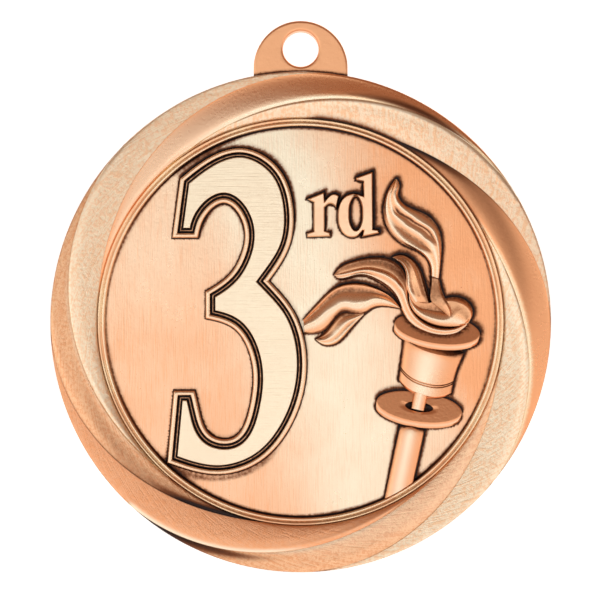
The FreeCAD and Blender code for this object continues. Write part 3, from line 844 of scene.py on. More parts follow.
# ---------------------------------------------------------------- settings
class MedalLooks(PropertyGroup):
    copper: FloatVectorProperty(
        name="Copper", description="The plate's colour", subtype="COLOR",
        default=(0.93, 0.445, 0.22),
    )
    # cream is also the painted highlight beside the smooth ramps' crests.
    cream: FloatVectorProperty(
        name="Cream", description="The plate where it is rubbed bright", subtype="COLOR",
        default=(0.94, 0.72, 0.46),
    )
    # pale is the colour of the painted highlights.
    pale: FloatVectorProperty(
        name="Pale", description="The plate where it is rubbed palest", subtype="COLOR",
        default=(0.96, 0.86, 0.66),
    )
    # umber and black colour both the black patina in the hollows and the painted shade.
    umber: FloatVectorProperty(
        name="Umber", description="Tarnish that begins", subtype="COLOR",
        default=(0.20, 0.075, 0.035),
    )
    black: FloatVectorProperty(
        name="Black", description="Full tarnish", subtype="COLOR", default=(0.016, 0.007, 0.006)
    )
    grain: FloatProperty(
        name="Grain", description="Strength of the surface's grain", default=0.8, min=0, max=1
    )
    breakup: FloatProperty(
        name="Breakup", description="How ragged the tarnish ends", default=0.6, min=0, max=2
    )
    patchiness: FloatProperty(
        name="Patchiness", description="How far the plate's colour drifts", default=0.6,
        min=0, max=1,
    )
    # halo is the reach of the field's painted shadows beside the relief.
    halo: FloatProperty(
        name="Halo", description="Reach of the tarnish beside the relief", default=0.42 * MM,
        min=0.1 * MM, max=4 * MM, unit="LENGTH",
    )


class MedalStage(PropertyGroup):
    lens: FloatProperty(name="Lens", description="Camera lens in millimetres", default=120)
    view_wide: FloatProperty(
        name="View width", description="Width of the view at the medal", default=71.75 * MM,
        unit="LENGTH",
    )
    view_rise: FloatProperty(
        name="View rise", description="The view's middle above the disc's centre",
        default=2.62 * MM, unit="LENGTH",
    )
    drop: FloatProperty(
        name="Drop", description="The floor below the hanging hole", default=78 * MM, unit="LENGTH"
    )
    floor_tint: FloatVectorProperty(
        name="Floor", description="Colour of the floor", subtype="COLOR",
        default=(0.92, 0.92, 0.92),
    )


# ---------------------------------------------------------------- plate and eye
class MEDAL_OT_plate(Operator):
    """Turns the disc's plate: the field, the edge, and the back with its recess"""
    bl_idname = "medal.plate"
    bl_label = "Plate"

    def execute(self, context):
        thick = BACK - FLOOR
        edge = DISC_RADIUS - HAIR
        flat_edge = edge - EDGE_SOFT
        recess = RECESS_RADIUS
        deep = thick - RECESS_DEEP
        turn = np.linspace(0, math.pi / 2, 6)
        corner = np.stack([np.cos(turn), 1 - np.sin(turn)], axis=1) * EDGE_SOFT
        profile = [(r, 0.0) for r in np.linspace(0, RING_RADIUS - 0.2, FIELD_RINGS)]
        profile += [(flat_edge, 0.0), (edge, -0.15)]
        profile += [(flat_edge + out, inward - thick) for out, inward in corner]
        profile += [(RIM_INSIDE, -thick), (recess + 0.40, -thick), (recess + 0.12, 0.06 - thick)]
        profile += [(recess - 0.05, 0.08 - deep), (recess - 0.30, -deep)]
        profile += [(r, -deep) for r in np.linspace(recess - 1.2, 0, RECESS_RINGS)]
        verts, faces = revolved(profile, PLATE_TURNS)
        x, tall, z = verts.T
        face = np.stack([x, z], axis=1)
        out = np.hypot(x, z)
        patina_and_painted_light = self.back_tarnish(out, tall, deep)
        front = (tall > -0.01) & (out < RING_RADIUS)
        patina_and_painted_light[front] = self.front_patina_and_shadow(face[front], out[front])
        flow = np.stack([self.polish(face) * (out < RING_RADIUS), out, out], axis=1)
        piece = build("plate", verts, faces, patina_and_painted_light, flow)
        looks = context.scene.medal_looks
        # The field drifts from copper to pale along its painted highlight.
        ends = (looks.pale, looks.copper)
        material = plated("field copper", *ends, 0.30, upright_brushing, deep=0.07, spread=0.2)
        stands_for(piece, "blank_disc", material)
        return {"FINISHED"}

    def front_patina_and_shadow(self, face, out):
        """Black close to the feet of the relief and to the bead, fading into painted shadows.

        Each share falls off with the distance to the nearest foot: close from the point
        itself, and a painted shadow from a point shifted back by its shift.  The painted shadows
        fade out to the lower left, and the one below the numeral fades out to the right."""
        x, z = face.T
        feet = relief_feet()
        patchy = 1.0 + 0.45 * np.sin(x * 0.31 + 1.0) * np.cos(z * 0.27)
        reach = bpy.context.scene.medal_looks.halo / MM * patchy

        def drift(strength, shift, wide):
            gap = nearest(face - np.array(shift), feet) / (wide * reach)
            return strength * np.exp(-(gap**2))

        close = np.exp(-((nearest(face, feet) / SOOT_REACH) ** 1.5))
        above = sum(drift(*shape) for shape in PAINTED_SHADOWS)
        above = above * np.clip(0.25 + ease(x, 2, 6) + ease(z, 9, 14), 0, 1)
        below = drift(*PAINTED_SHADOW_BELOW) * ease(-z, 13, 18) * ease(-x, -4, 4)
        upright = (z**2 - x**2) / np.maximum(out, 1.0) ** 2
        inside = np.maximum(FIELD_RADIUS - out, 0)
        bead = np.exp(-np.maximum(FIELD_RADIUS - 0.05 - out, 0) / SOOT_REACH)
        bead = (0.65 + 0.35 * upright) * bead
        bead_drift = np.exp(-inside / 0.5) * (0.15 + 0.10 * np.sin(x * 0.4 + z * 0.3))
        return np.clip((close + above + below + bead + bead_drift - 0.04) / 0.9, 0, 1)

    def polish(self, face):
        """A painted highlight: palest along a line a little right of the middle that leans left
        as it rises.
        """
        x, z = face.T
        away = x - 3.0 + 0.3 * (z + 5.0)
        line = np.exp(-((away / np.where(away < 0, 8.0, 13.0)) ** 2))
        high_left = 0.22 * ease(z - 0.5 * x, 6, 18)
        high_right = 0.50 * ease(x + 0.6 * z, 8, 18)
        return np.clip(0.28 + 0.66 * line + high_left - high_right, 0, 1)

    def back_tarnish(self, out, tall, deep):
        """A little all over, and more in the recess's corner."""
        corner = np.hypot(out - RECESS_RADIUS + 0.1, tall + deep)
        return 0.05 + 0.75 * np.exp(-corner / 0.45) * (out < RECESS_RADIUS + 0.1)


class MEDAL_OT_eye(Operator):
    """Rounds the hanging eye: a flat ring between the hole and the tab's edge"""
    bl_idname = "medal.eye"
    bl_label = "Eye"

    def execute(self, context):
        half = (TAB_HIGH[1] - TAB_LOW[1]) / 2
        soft = EYE_SOFT
        turn = np.radians(np.arange(0, 360, EYE_STEP))
        way = np.stack([np.sin(turn), np.cos(turn)], axis=1)
        outer = self.reach(way)[:, None]
        bend = np.linspace(0, math.pi / 2, 6)
        inset = soft * (1 - np.sin(bend))
        depth = half - soft + soft * np.cos(bend)
        share = np.array([0.03, 0.07, 0.13, 0.22, 0.35, 0.5, 0.7, 0.9])
        face = (outer - soft) * (1 - share) + (HOLE_RADIUS + soft) * share
        hole = np.broadcast_to(HOLE_RADIUS + inset, (len(turn), len(inset)))
        front = np.concatenate([(outer - inset)[:, ::-1], face, hole], axis=1)
        rise_at = np.concatenate([depth[::-1], np.full(len(share), half), depth])
        section = np.concatenate([front, front[:, ::-1]], axis=1)
        tall = np.concatenate([rise_at, -rise_at[::-1]]) + FLOOR
        flat = way[:, None, :] * section[:, :, None] + np.array([0.0, HOLE_RISE])
        verts = lifted(flat, tall)
        faces = grid_faces(*section.shape, True, True)
        out = np.hypot(verts[:, 0], verts[:, 2]) - DISC_RADIUS
        patina_and_painted_light = np.clip(np.exp(-np.maximum(out - 0.05, 0) / 0.14), 0, 1)
        piece = build("eye", verts, faces, patina_and_painted_light, sharp=60)
        looks = context.scene.medal_looks
        bright = between(looks.copper, looks.cream, 0.15)
        stands_for(piece, "hanging_tab", plated("eye copper", bright, bright, 0.32, satin))
        return {"FINISHED"}

    def reach(self, way):
        """How far the tab's edge is from the hole's centre: the round top, the straight
        sides below the round's centre, and the disc's edge."""
        drop = HOLE_RISE - (TAB_HIGH[2] - DISC_CENTRE - TAB_RADIUS)
        up = way[:, 1]
        top = -drop * up + np.sqrt(TAB_RADIUS**2 - (drop * way[:, 0]) ** 2)
        side = TAB_RADIUS / np.maximum(np.abs(way[:, 0]), 1e-6)
        reach = np.where(up * top < -drop, side, top)
        foot = DISC_RADIUS - 0.28
        square = (HOLE_RISE * up) ** 2 - HOLE_RISE**2 + foot**2
        meets = (up < 0) & (square > 0)
        disc = -HOLE_RISE * up - np.sqrt(np.maximum(square, 0))
        return np.where(meets, np.minimum(reach, disc), reach)


# ---------------------------------------------------------------- border
class MEDAL_OT_border(Operator):
    """Sweeps the bead round the field, and the border's blasted bands and smooth ramps"""
    bl_idname = "medal.border"
    bl_label = "Border"

    def execute(self, context):
        looks = context.scene.medal_looks
        self.bead(looks)
        again = [angle + 360 for angle in BLADE_EDGES[0]]
        edges = BLADE_EDGES + [again]
        for number in range(4):
            first, second, third = edges[2 * number:2 * number + 3]
            skin = self.band_copper(looks, number)
            band = self.strip(f"blasted_band_{number + 1}", first, second, number, BANDS)
            stands_for(band, f"border_band_{number + 1}", skin)
            skin = self.ramp_copper(looks, number)
            ramp = self.strip(f"smooth_ramp_{number + 1}", second, third, number, RAMPS)
            stands_for(ramp, f"border_ramp_{number + 1}", skin)
        return {"FINISHED"}

    def band_copper(self, looks, number):
        """Blasted plate, from pale to copper by the band's warmth, which is painted light: each
        band gets its own share for the way it faces.
        """
        warmth = BANDS[number]["warmth"]
        paler = between(looks.pale, looks.copper, warmth)
        worn = between(looks.cream, looks.copper, min(1.0, warmth + 0.25))
        finish = {"deep": 0.11, "spread": 0.2, "ragged": 0.5}
        return plated(f"blasted copper {number + 1}", paler, worn, 0.34, blasted, **finish)

    def ramp_copper(self, looks, number):
        """Blasted copper, or satin with a painted highlight at its crest."""
        name = f"smooth copper {number + 1}"
        if RAMPS[number]["blasted"]:
            paler = between(looks.cream, looks.copper, 0.5)
            worn = np.array(looks.copper) * 0.88
            finish = {"deep": 0.14, "spread": 0, "ragged": 0.3}
            return plated(name, paler, worn, 0.30, blasted, **finish)
        worn = between(looks.cream, looks.copper, RAMPS[number]["warmth"])
        finish = {"deep": 0.05, "spread": 0, "ragged": 0.1}
        return plated(name, looks.cream, worn, 0.28, satin_with_crest_highlight, **finish)

    def bead(self, looks):
        """A ring of a rounded bead, a black groove, and a fine raised line."""
        r = FIELD_RADIUS
        tall = BEAD_TALL
        # The negative values on the bead's top are a painted highlight; the positive ones at its
        # feet and in its groove are black patina.
        section = [
            (r - 0.12, BURIED, 1), (r - 0.10, 0.03, 1), (r + 0.02, 0.05, 1), (r + 0.06, 0.20, 0.9),
            (r + 0.12, 0.42, 0.3), (r + 0.22, tall, -0.3), (r + 0.40, tall, -0.3),
            (r + 0.52, 0.48, 0.2), (r + 0.58, 0.42, 0.4), (r + 0.64, 0.46, 0.25),
            (r + 0.74, 0.58, -0.1), (r + 0.92, 0.58, 0), (r + 1.02, 0.45, 0.3),
            (r + 1.04, BURIED, 0.6),
        ]
        radius, height, dark = np.array(section).T
        verts = spun(radius, height, BEAD_TURNS)
        faces = grid_faces(BEAD_TURNS, len(section), True, True)
        upright = np.cos(np.arange(BEAD_TURNS) * 4 * math.pi / BEAD_TURNS)[:, None]
        dark = np.where(dark > 0, dark * (0.65 + 0.35 * upright), dark)
        piece = build("bead", verts, faces, dark, sharp=80)
        material = plated("bead copper", looks.cream, looks.copper, 0.28, satin)
        stands_for(piece, "field_bead", material)

    def strip(self, name, leading, trailing, number, kind):
        """A grid in clock angle and radius between two boundaries, u out and v across.

        Each boundary's angle goes evenly with u and its radius with climb(u), and v goes
        straight from one boundary to the other."""
        finish = kind[number]
        u = np.linspace(0, 1, STRIP_SHAPE[0])[:, None]
        v = np.linspace(0, 1, STRIP_SHAPE[1])[None, :]
        radius = RING_RADIUS + (DISC_RADIUS - HAIR - RING_RADIUS) * climb(u)
        radius = np.broadcast_to(radius, (len(u), v.shape[1]))
        first = leading[0] + (leading[1] - leading[0]) * u
        last = trailing[0] + (trailing[1] - trailing[0]) * u
        angle = first * (1 - v) + last * v
        top = clock(angle, radius)
        flat = top.reshape(-1, 2)
        from_first = nearest(flat, top[:, 0]).reshape(radius.shape)
        from_last = nearest(flat, top[:, -1]).reshape(radius.shape)
        section = self.band_section if kind is BANDS else self.ramp_section
        tall, dark = section(u, v, from_first, from_last, finish)
        rim = np.clip((radius - DISC_RADIUS + HAIR + EDGE_SOFT) / EDGE_SOFT, 0, 1)
        inner = np.clip((RING_RADIUS + 0.2 - radius) / 0.2, 0, 1)
        tall = tall - EDGE_SOFT * (1 - np.sqrt(1 - rim**2)) - 0.14 * inner**2
        inside = RING_RADIUS - radius
        shade = finish.get("shade", 0.0) * ease(angle, *SHADE_FROM) * np.exp(inside / 0.35)
        edge = 0.35 * np.exp(inside / 0.09) + 0.4 * np.exp((radius - DISC_RADIUS) / 0.10)
        dark = np.clip(dark + shade + edge, -1, 1)
        return self.closed(name, top, tall, dark, np.radians(angle) * radius, radius, v)

    def closed(self, name, top, tall, dark, around, radius, v):
        """The strip with its foot and its walls."""
        rows, columns = tall.shape
        upper = lifted(top, tall)
        lower = upper.copy()
        lower[:, 1] = BURIED
        base = rows * columns
        faces = grid_faces(rows, columns)
        faces += (np.array(faces) + base).tolist()
        i = np.arange(rows - 1)
        j = np.arange(columns - 1)
        sides = [j, i * columns + columns - 1, base - 1 - j, (rows - 1 - i) * columns]
        loop = np.concatenate(sides)
        ahead = np.roll(loop, -1)
        faces += np.stack([loop, ahead, ahead + base, loop + base], axis=1).tolist()
        flow = np.stack([around, radius, np.broadcast_to(v, tall.shape)], axis=-1)
        shade = np.concatenate([dark.ravel(), np.full(base, 0.5)])
        verts = np.concatenate([upper, lower])
        return build(name, verts, faces, shade, np.tile(flow.reshape(-1, 3), (2, 1)), sharp=50)

    def crest(self, u):
        """A crest's height: the ring's at u = 0, the disc edge's at u = 1, high between."""
        line = RING_TALL + (RIM_TALL - RING_TALL) * u
        return line + (CREST_TALL - line) * np.sin(math.pi * u) ** 0.6

    def band_section(self, u, v, from_first, from_last, finish):
        """From its rounded crest gently down to the step."""
        crest = self.crest(u)
        dip = 0.05 * np.exp(-(((from_first - 0.45) / 0.35) ** 2))
        soft = CREST_SOFT * np.exp(-from_first / 0.12) - dip
        tall = crest - BAND_FALL * v * np.sin(math.pi * u) ** 0.5 - soft
        step = 0.12 * np.exp(-from_last / 0.10) * ease(u, 0.02, 0.2)
        # brown is painted shade on the inner half, and lit a painted highlight along the crest.
        brown = finish["brown"] * (1 - ease(u, 0.45, 0.85))
        line = np.exp(-(((from_first - 0.20) / 0.26) ** 2))
        lit = finish["lit"] * line * ease(u, 0.40, 0.56)
        return tall, step + brown - lit

    def ramp_section(self, u, v, from_first, from_last, finish):
        """From the foot of the step up to the next crest."""
        bulge = np.sin(math.pi * u) ** 0.5
        crest = self.crest(u)
        low = crest - STEP_TALL * bulge
        tall = low + (crest - low) * v**1.3 - CREST_SOFT * np.exp(-from_last / 0.30)
        foot = 0.15 * np.exp(-from_first / 0.12) * (1 - ease(u, 0.6, 1.0))
        inner = finish["foot"] * np.exp(-((from_first / 0.50) ** 2)) * (1 - ease(u, 0.18, 0.42))
        # brown is painted shade on the inner half.
        brown = finish["brown"] * (1 - ease(u, 0.40, 0.72)) * (1 - 0.5 * v)
        begins, full, falls, gone = finish["span"]
        outer = finish["outer"] * np.exp(-((from_last / 0.8) ** 2)) * ease(u, begins, full)
        outer = outer * (1 - ease(u, falls, gone))
        # bright is a painted highlight beside the next crest, and the last share a painted
        # highlight over the inner half.
        bright = 0.5 * np.exp(-((from_last / 0.35) ** 2)) * ease(u, 0.05, 0.2)
        bright = bright * (1 - ease(u, 0.5, 0.9))
        paler = finish["polish"] * (1 - ease(u, 0.35, 0.80))
        return tall, foot + inner + brown + outer - bright - paler


# ---------------------------------------------------------------- numeral and letters
class MEDAL_OT_numeral(Operator):
    """Raises the numeral: a rounded line, a black groove round, and a flat panel"""
    bl_idname = "medal.numeral"
    bl_label = "Numeral"

    def execute(self, context):
        looks = context.scene.medal_looks
        tall = rise("numeral_outline")
        # The line's top at -0.5 is a painted highlight; the 1s in the groove are black patina.
        line = [
            (-0.16, BURIED, 1), (-0.05, 0.10, 1), (0.0, 0.35, 0.7), (0.06, tall - 0.14, 0.15),
            (0.16, tall, -0.5), (0.46, tall, -0.5), (0.57, tall - 0.16, 0.3), (0.63, 0.30, 1),
            (0.68, 0.10, 1), (0.78, 0.10, 1), (0.83, 0.40, 0.3), (0.92, 0.40, 0.3),
            (0.97, 0.10, 1), (1.30, 0.05, 1), (1.30, BURIED, 1),
        ]
        verts, faces, patina_and_painted_light = carry(NUMERAL, line, NUMERAL_STEP, ring=True)
        piece = build("numeral_line", verts, faces, patina_and_painted_light, sharp=70)
        warm = between(looks.cream, looks.copper, 0.5)
        material = plated("line copper", warm, looks.copper, 0.28, satin)
        stands_for(piece, "numeral_outline", material)
        tall = rise("numeral_face")
        # The panel's top at -0.85 is a painted highlight.
        panel = [
            (1.08, BURIED, 1), (1.11, 0.30, 1), (1.15, tall - 0.18, 0.4),
            (1.19, tall - 0.05, 0.0), (1.24, tall, -0.85), (1.30, tall, -0.85),
        ]
        verts, faces, patina_and_painted_light = raised(NUMERAL, panel, NUMERAL_STEP)
        piece = build("numeral_panel", verts, faces, patina_and_painted_light, sharp=60)
        ends = (looks.cream, looks.copper)
        material = plated("panel copper", *ends, 0.33, level_brushing, deep=0.04, spread=0.4)
        stands_for(piece, "numeral_face", material)
        return {"FINISHED"}


class MEDAL_OT_letters(Operator):
    """Raises the two small letters with rounded edges"""
    bl_idname = "medal.letters"
    bl_label = "Letters"

    def execute(self, context):
        looks = context.scene.medal_looks
        tall = rise("letter_r")
        # The tops' negative values are a painted highlight.
        profile = [
            (-0.10, BURIED, 1), (-0.04, 0.06, 1), (0.0, 0.20, 0.8), (0.05, tall - 0.34, 0.45),
            (0.10, tall - 0.14, 0.15), (0.16, tall - 0.03, -0.1), (0.19, tall, -0.3),
            (0.22, tall, -0.3),
        ]
        warm = between(looks.cream, looks.copper, 0.5)
        material = plated("letter copper", warm, looks.copper, 0.30, satin)
        shape = raised(LETTER_R, profile, LETTER_STEP)
        stands_for(build("small_r", *shape, sharp=60), "letter_r", material)
        shape = raised_with_hole(LETTER_D, D_COUNTER, profile, LETTER_STEP)
        stands_for(build("small_d", *shape, sharp=60), "letter_d", material)
        return {"FINISHED"}


# ---------------------------------------------------------------- flames and torch
def leaned(points, foot, lean=TORCH_LEAN):
    """Points leaned clockwise about their own origin, which goes to foot."""
    x, z = np.moveaxis(np.asarray(points, float), -1, 0)
    turned = [x * math.cos(lean) + z * math.sin(lean), z * math.cos(lean) - x * math.sin(lean)]
    return np.stack(turned, axis=-1) + np.array(foot)


def plate_loop(turn, share=1.0, edge=0.0):
    """A round plate seen aslant: an ellipse, with its lower half dropped by edge."""
    x = PLATE_WIDE * share * np.sin(turn)
    z = PLATE_DEEP * share * np.cos(turn)
    return np.stack([x, z - edge * (np.cos(turn) < 0)], axis=-1)


def handle_line(across):
    """From the guard down to the bead, at a distance across from the handle's axis."""
    way = np.array([-math.sin(TORCH_LEAN), -math.cos(TORCH_LEAN)])
    side = np.array([math.cos(TORCH_LEAN), -math.sin(TORCH_LEAN)])
    start = np.array(HANDLE_TOP) + way * HANDLE_DROP + across * side
    reach = FIELD_RADIUS + 0.05
    middle = start @ way
    long = -middle + math.sqrt(middle**2 - start @ start + reach**2)
    return start, start + way * long


def relief_feet():
    """Points along the foot of everything that stands on the field."""
    lines = [trace(outline, 0.22)[0] for outline in (NUMERAL, LETTER_R, LETTER_D, D_COUNTER)]
    for flame in FLAMES:
        for shape in flame[2]:
            lines += [spline(edge, 70) for edge in shape[:2]]
    turn = np.linspace(0, 2 * math.pi, 100)
    for centre in (LIP_CENTRE, GUARD_CENTRE):
        lines.append(leaned(plate_loop(turn, 1.0, PLATE_EDGE), centre, PLATE_LEAN))
    for side in (CUP_LEFT, CUP_RIGHT):
        lines.append(leaned(spline(side, 40), CUP_FOOT))
    lines += [spline(handle_line(across), 60) for across in (-HANDLE_HALF, HANDLE_HALF)]
    return np.concatenate(lines)


class MEDAL_OT_flames(Operator):
    """Sculpts the six flames, each a grid between its edges with ridges and hollows along it"""
    bl_idname = "medal.flames"
    bl_label = "Flames"

    def execute(self, context):
        looks = context.scene.medal_looks
        gold = between(looks.copper, looks.cream, 0.22)
        material = plated("flame copper", gold, gold, 0.28, satin)
        for name, node, tongues in FLAMES:
            piece = build(name, *joined([tongue(*shape) for shape in tongues]), sharp=55)
            stands_for(piece, node, material)
        return {"FINISHED"}


class MEDAL_OT_torch(Operator):
    """Builds the torch: its lip and guard plates, the cup, the neck and the handle"""
    bl_idname = "medal.torch"
    bl_label = "Torch"

    def execute(self, context):
        looks = context.scene.medal_looks
        material = plated("torch copper", looks.copper, looks.copper, 0.30, satin)
        lip = self.plate("lip", LIP_CENTRE, rise("torch_lip"), spline(LONG_RIGHT, 200), False)
        stands_for(lip, "torch_lip", material)
        guard = self.plate("guard", GUARD_CENTRE, rise("torch_guard"), None, True)
        stands_for(guard, "torch_guard", material)
        stands_for(self.neck(), "torch_neck", material)
        stands_for(self.cup(), "torch_cup", material)
        stands_for(self.handle(), "torch_handle", material)
        return {"FINISHED"}

    def neck(self):
        """A half-round between the cup and the guard."""
        grid = leaned(self.half_round(NECK_LEFT, NECK_RIGHT, 0.0, 30, 21), CUP_FOOT)
        tall, dark = self.rounded(grid, rise("torch_neck") + 0.08)
        return build("neck", *slab(grid, tall, dark), sharp=60)

    def handle(self):
        """A half-round from the guard to the bead, lower and black where it comes out."""
        v = np.linspace(-1, 1, 33)
        ends = np.array([handle_line(HANDLE_HALF * part) for part in np.sin(v * math.pi / 2)])
        u = np.linspace(0, 1, 60)[:, None]
        grid = ends[None, :, 0] * (1 - u[:, :, None]) + ends[None, :, 1] * u[:, :, None]
        tall, dark = self.rounded(grid, rise("torch_handle"))
        dark = np.clip(dark + 1.3 * np.exp(-np.maximum(u - 0.03, 0) / 0.03), -1, 1)
        tall = tall - 0.3 * np.exp(-u / 0.05)
        return build("handle", *slab(grid, tall, dark), sharp=60)

    def half_round(self, left, right, sag, rows, columns):
        """A grid from a left line to a right one; its rows hang down by sag in the middle."""
        v = np.sin(np.linspace(-1, 1, columns) * math.pi / 2) * 0.5 + 0.5
        a = spline(left, rows)[:, None, :]
        b = spline(right, rows)[:, None, :]
        grid = a * (1 - v[None, :, None]) + b * v[None, :, None]
        grid[:, :, 1] -= sag * (1 - np.abs(2 * v[None, :] - 1) ** 2.6)
        return grid

    def rounded(self, grid, tall):
        """Half-round across a grid: the height is the root of 1 less the place squared."""
        rows, columns = grid.shape[:2]
        v = np.linspace(-1, 1, columns)
        across = np.sin(v * math.pi / 2)
        arch = 0.30 + (tall - 0.30) * np.sqrt(1 - across**2) ** 0.8
        # Black at both edges, and a painted highlight down the middle, a little off the axis.
        middle = np.exp(-(((across + 0.1) / 0.5) ** 2))
        dark = 0.55 * np.exp(-(1 - np.abs(across)) / 0.05) - 0.75 * middle
        return np.tile(arch, (rows, 1)), np.tile(dark, (rows, 1))

    def cup(self):
        """The cup: half-round, with two fine lines near its foot and a rounded lower edge."""
        grid = self.half_round(CUP_LEFT, CUP_RIGHT, CUP_SAG, 120, 49)
        tall, dark = self.rounded(grid, rise("torch_cup"))
        u = np.linspace(0, 1, 120)[:, None]
        lines = np.exp(-(((u - 0.70) / 0.012) ** 2)) + np.exp(-(((u - 0.745) / 0.012) ** 2))
        foot = ease(u, 0.93, 1.0)
        # shade is a painted shadow under the lip, at the cup's mouth.
        shade = np.exp(-u / 0.06)
        tall = tall - 0.07 * lines - 0.35 * foot**2
        dark = np.clip(dark + 0.8 * lines + 0.7 * foot**3 + 0.6 * shade, -1, 1)
        return build("cup", *slab(leaned(grid, CUP_FOOT), tall, dark), sharp=60)

    def plate(self, name, centre, front, flame, pierced):
        """A plate seen aslant: loops from its middle out, each (places, heights, shade values).

        The face rises evenly from PLATE_BACK behind to front, and the edge shows below.  A
        pierced plate has a hollow in its middle, and a flame on it leaves its foot black."""
        turn = np.arange(PLATE_LOOP) * 2 * math.pi / PLATE_LOOP
        down = -np.cos(turn)
        loops = []
        for share in (0.0, 0.12, 0.24, 0.30, 0.34, 0.5, 0.65, 0.8, 0.90, 0.95, 0.975):
            loop = plate_loop(turn, share)
            part = loop[:, 1] / PLATE_DEEP * -0.5 + 0.5
            height = PLATE_BACK + (front - PLATE_BACK) * part
            dark = np.full(len(turn), 0.13)
            if pierced and share <= 0.31:
                height = height - (0.30 if share < 0.28 else 0.12)
                dark = dark + (0.4 if share < 0.20 else 0.9)
            loops.append((loop, height, dark))
        # The edge that shows below has a painted highlight; the upper edge is darker.
        lower = ease(down, -0.10, 0.10)
        foot = plate_loop(turn, 1.0, PLATE_EDGE)
        height = PLATE_BACK + (front - PLATE_BACK) * (down * 0.5 + 0.5)
        loops += [
            (plate_loop(turn), height - 0.03, 0.15 * (1 - lower)),
            (plate_loop(turn, 1.0, PLATE_EDGE * 0.45), height - 0.05 - 0.05 * lower,
             0.3 * (1 - lower) - 0.5 * lower),
            (foot * 0.995, height - 0.12 - 0.16 * lower, 0.5 - 0.35 * lower),
            (foot, height * 0.4, np.full(len(turn), 0.9)),
            (foot * 1.01, np.full(len(turn), BURIED), np.ones(len(turn))),
        ]
        flat = np.stack([leaned(loop[0], centre, PLATE_LEAN) for loop in loops], axis=1)
        tall = np.stack([loop[1] for loop in loops], axis=1)
        dark = np.stack([loop[2] for loop in loops], axis=1)
        if flame is not None:
            gap = nearest(flat.reshape(-1, 2), flame).reshape(dark.shape)
            dark = np.clip(dark + 0.85 * np.exp(-gap / 0.18), -1, 1)
        count = len(loops)
        faces = grid_faces(len(turn), count, True)
        faces.append((np.arange(len(turn)) * count + count - 1).tolist())
        return build(name, lifted(flat, tall), faces, dark.ravel(), sharp=50)


# ---------------------------------------------------------------- stage
# Each lamp's place from the medal's middle in metres, size, power and tint.
LAMPS = {
    "key": ((-0.22, -0.30, -0.055), 0.14, 0.06, (0.94, 1.0, 1.05)),
    "fill": ((0.016, -0.36, 0.004), 0.06, 0.012, (0.90, 1.0, 1.10)),
    "back": ((0.10, 0.25, 0.22), 0.30, 0.15, (1.0, 0.8, 0.65)),
}
# The surroundings go from low to high between these heights, which tilt with x.
SKY_LOW = (0.97, 0.95, 0.93, 1)
SKY_HIGH = (0.34, 0.20, 0.14, 1)
SKY_FADE = (0.20, 0.36)
SKY_TILT = 0.20
# The sweep in metres: its half width and front, where it bends up, and how far it rises.
SWEEP_HALF = 1.2
SWEEP_BEND = 0.35
SWEEP_RADIUS = 0.25
SWEEP_RISE = 1.2
SWEEP_GLOW = 0.55
SENSOR_WIDE = 36.0
# The camera stands a hair left of the middle, and its distance is counted from here.
CAMERA_SIDE = -0.08 * MM
RELIEF_FRONT = -1.0


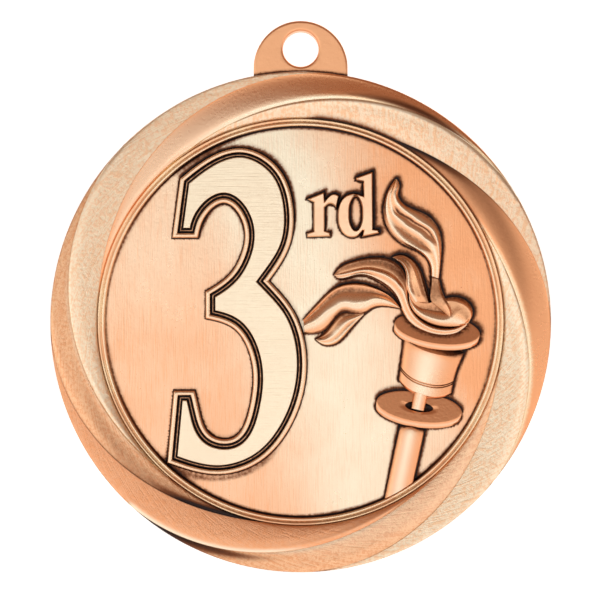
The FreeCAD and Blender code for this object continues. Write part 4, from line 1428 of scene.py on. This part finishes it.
class MEDAL_OT_stage(Operator):
    """Lays a pale sweep, lights it softly, and sets the camera square to the medal"""
    bl_idname = "medal.stage"
    bl_label = "Stage"

    def execute(self, context):
        stage = context.scene.medal_stage
        context.scene.view_settings.view_transform = "Standard"
        self.sweep(stage)
        self.sky(context)
        middle = Vector((0.0, FLOOR * MM, DISC_CENTRE * MM))
        for name, (offset, size, power, tint) in LAMPS.items():
            self.light(middle, name, Vector(offset), size, power, tint)
        camera_data = bpy.data.cameras.new("camera")
        camera_data.lens = stage.lens
        camera_data.sensor_width = SENSOR_WIDE
        camera = bpy.data.objects.new("camera", camera_data)
        far = stage.view_wide * stage.lens / SENSOR_WIDE
        front = (FLOOR + RELIEF_FRONT) * MM
        camera.location = (CAMERA_SIDE, front - far, middle.z + stage.view_rise)
        camera.rotation_euler = (math.pi / 2, 0, 0)
        context.scene.collection.objects.link(camera)
        context.scene.camera = camera
        return {"FINISHED"}

    def sweep(self, stage):
        """A floor that curves up into a wall: a profile of y and z carried along x."""
        low = -stage.drop
        bend = np.linspace(0, math.pi / 2, 16)[1:]
        profile = [(-SWEEP_HALF, low), (SWEEP_BEND, low)]
        y = SWEEP_BEND + SWEEP_RADIUS * np.sin(bend)
        z = low + SWEEP_RADIUS * (1 - np.cos(bend))
        profile += np.stack([y, z], axis=1).tolist()
        profile.append((SWEEP_BEND + SWEEP_RADIUS, low + SWEEP_RISE))
        verts = [(x, y, z) for y, z in profile for x in (-SWEEP_HALF, SWEEP_HALF)]
        mesh = bpy.data.meshes.new("sweep")
        mesh.from_pydata(verts, [], grid_faces(len(profile), 2))
        mesh.shade_smooth()
        sweep = bpy.data.objects.new("sweep", mesh)
        material = bpy.data.materials.new("sweep paper")
        material.use_nodes = True
        surface = material.node_tree.nodes["Principled BSDF"].inputs
        surface["Base Color"].default_value = (*stage.floor_tint, 1)
        surface["Roughness"].default_value = 0.9
        surface["Emission Color"].default_value = (1, 1, 1, 1)
        surface["Emission Strength"].default_value = SWEEP_GLOW
        mesh.materials.append(material)
        bpy.context.scene.collection.objects.link(sweep)

    def sky(self, context):
        """Soft surroundings: bright at eye level and warm and dim above."""
        world = bpy.data.worlds.new("studio")
        world.use_nodes = True
        context.scene.world = world
        nodes = Nodes(world.node_tree)
        way = nodes.node("ShaderNodeTexCoord", output="Generated")
        height = nodes.part(way, "Z") + nodes.part(way, "X") * SKY_TILT
        tint = nodes.blend(nodes.level(height, *SKY_FADE), SKY_LOW, SKY_HIGH)
        background = world.node_tree.nodes["Background"].inputs
        nodes.put(background["Color"], tint)
        background["Strength"].default_value = 1.0

    def light(self, middle, name, offset, size, power, tint):
        """An area light turned to the medal."""
        data = bpy.data.lights.new(name, "AREA")
        data.energy = power
        data.size = size
        data.color = tint
        lamp = bpy.data.objects.new(name, data)
        lamp.location = middle + offset
        lamp.rotation_euler = (-offset).to_track_quat("-Z", "Y").to_euler()
        bpy.context.scene.collection.objects.link(lamp)


# ---------------------------------------------------------------- add-on
OPERATORS = [
    MEDAL_OT_plate, MEDAL_OT_eye, MEDAL_OT_border, MEDAL_OT_numeral, MEDAL_OT_letters,
    MEDAL_OT_flames, MEDAL_OT_torch, MEDAL_OT_stage,
]


class MEDAL_PT_panel(Panel):
    """The medal's steps and settings"""
    bl_idname = "MEDAL_PT_panel"
    bl_label = "Finisher Medal"
    bl_space_type = "VIEW_3D"
    bl_region_type = "UI"
    bl_category = "Medal"

    def draw(self, context):
        for operator in OPERATORS:
            self.layout.operator(operator.bl_idname)
        for settings in (context.scene.medal_looks, context.scene.medal_stage):
            for name in settings.__annotations__:
                self.layout.prop(settings, name)


CLASSES = [MedalLooks, MedalStage] + OPERATORS + [MEDAL_PT_panel]


def register():
    for kind in CLASSES:
        bpy.utils.register_class(kind)
    bpy.types.Scene.medal_looks = PointerProperty(type=MedalLooks)
    bpy.types.Scene.medal_stage = PointerProperty(type=MedalStage)


def unregister():
    del bpy.types.Scene.medal_looks
    del bpy.types.Scene.medal_stage
    for kind in reversed(CLASSES):
        bpy.utils.unregister_class(kind)


def main():
    register()
    bpy.ops.medal.plate()
    bpy.ops.medal.eye()
    bpy.ops.medal.border()
    bpy.ops.medal.numeral()
    bpy.ops.medal.letters()
    bpy.ops.medal.flames()
    bpy.ops.medal.torch()
    bpy.ops.medal.stage()


if __name__ == "__main__":
    main()
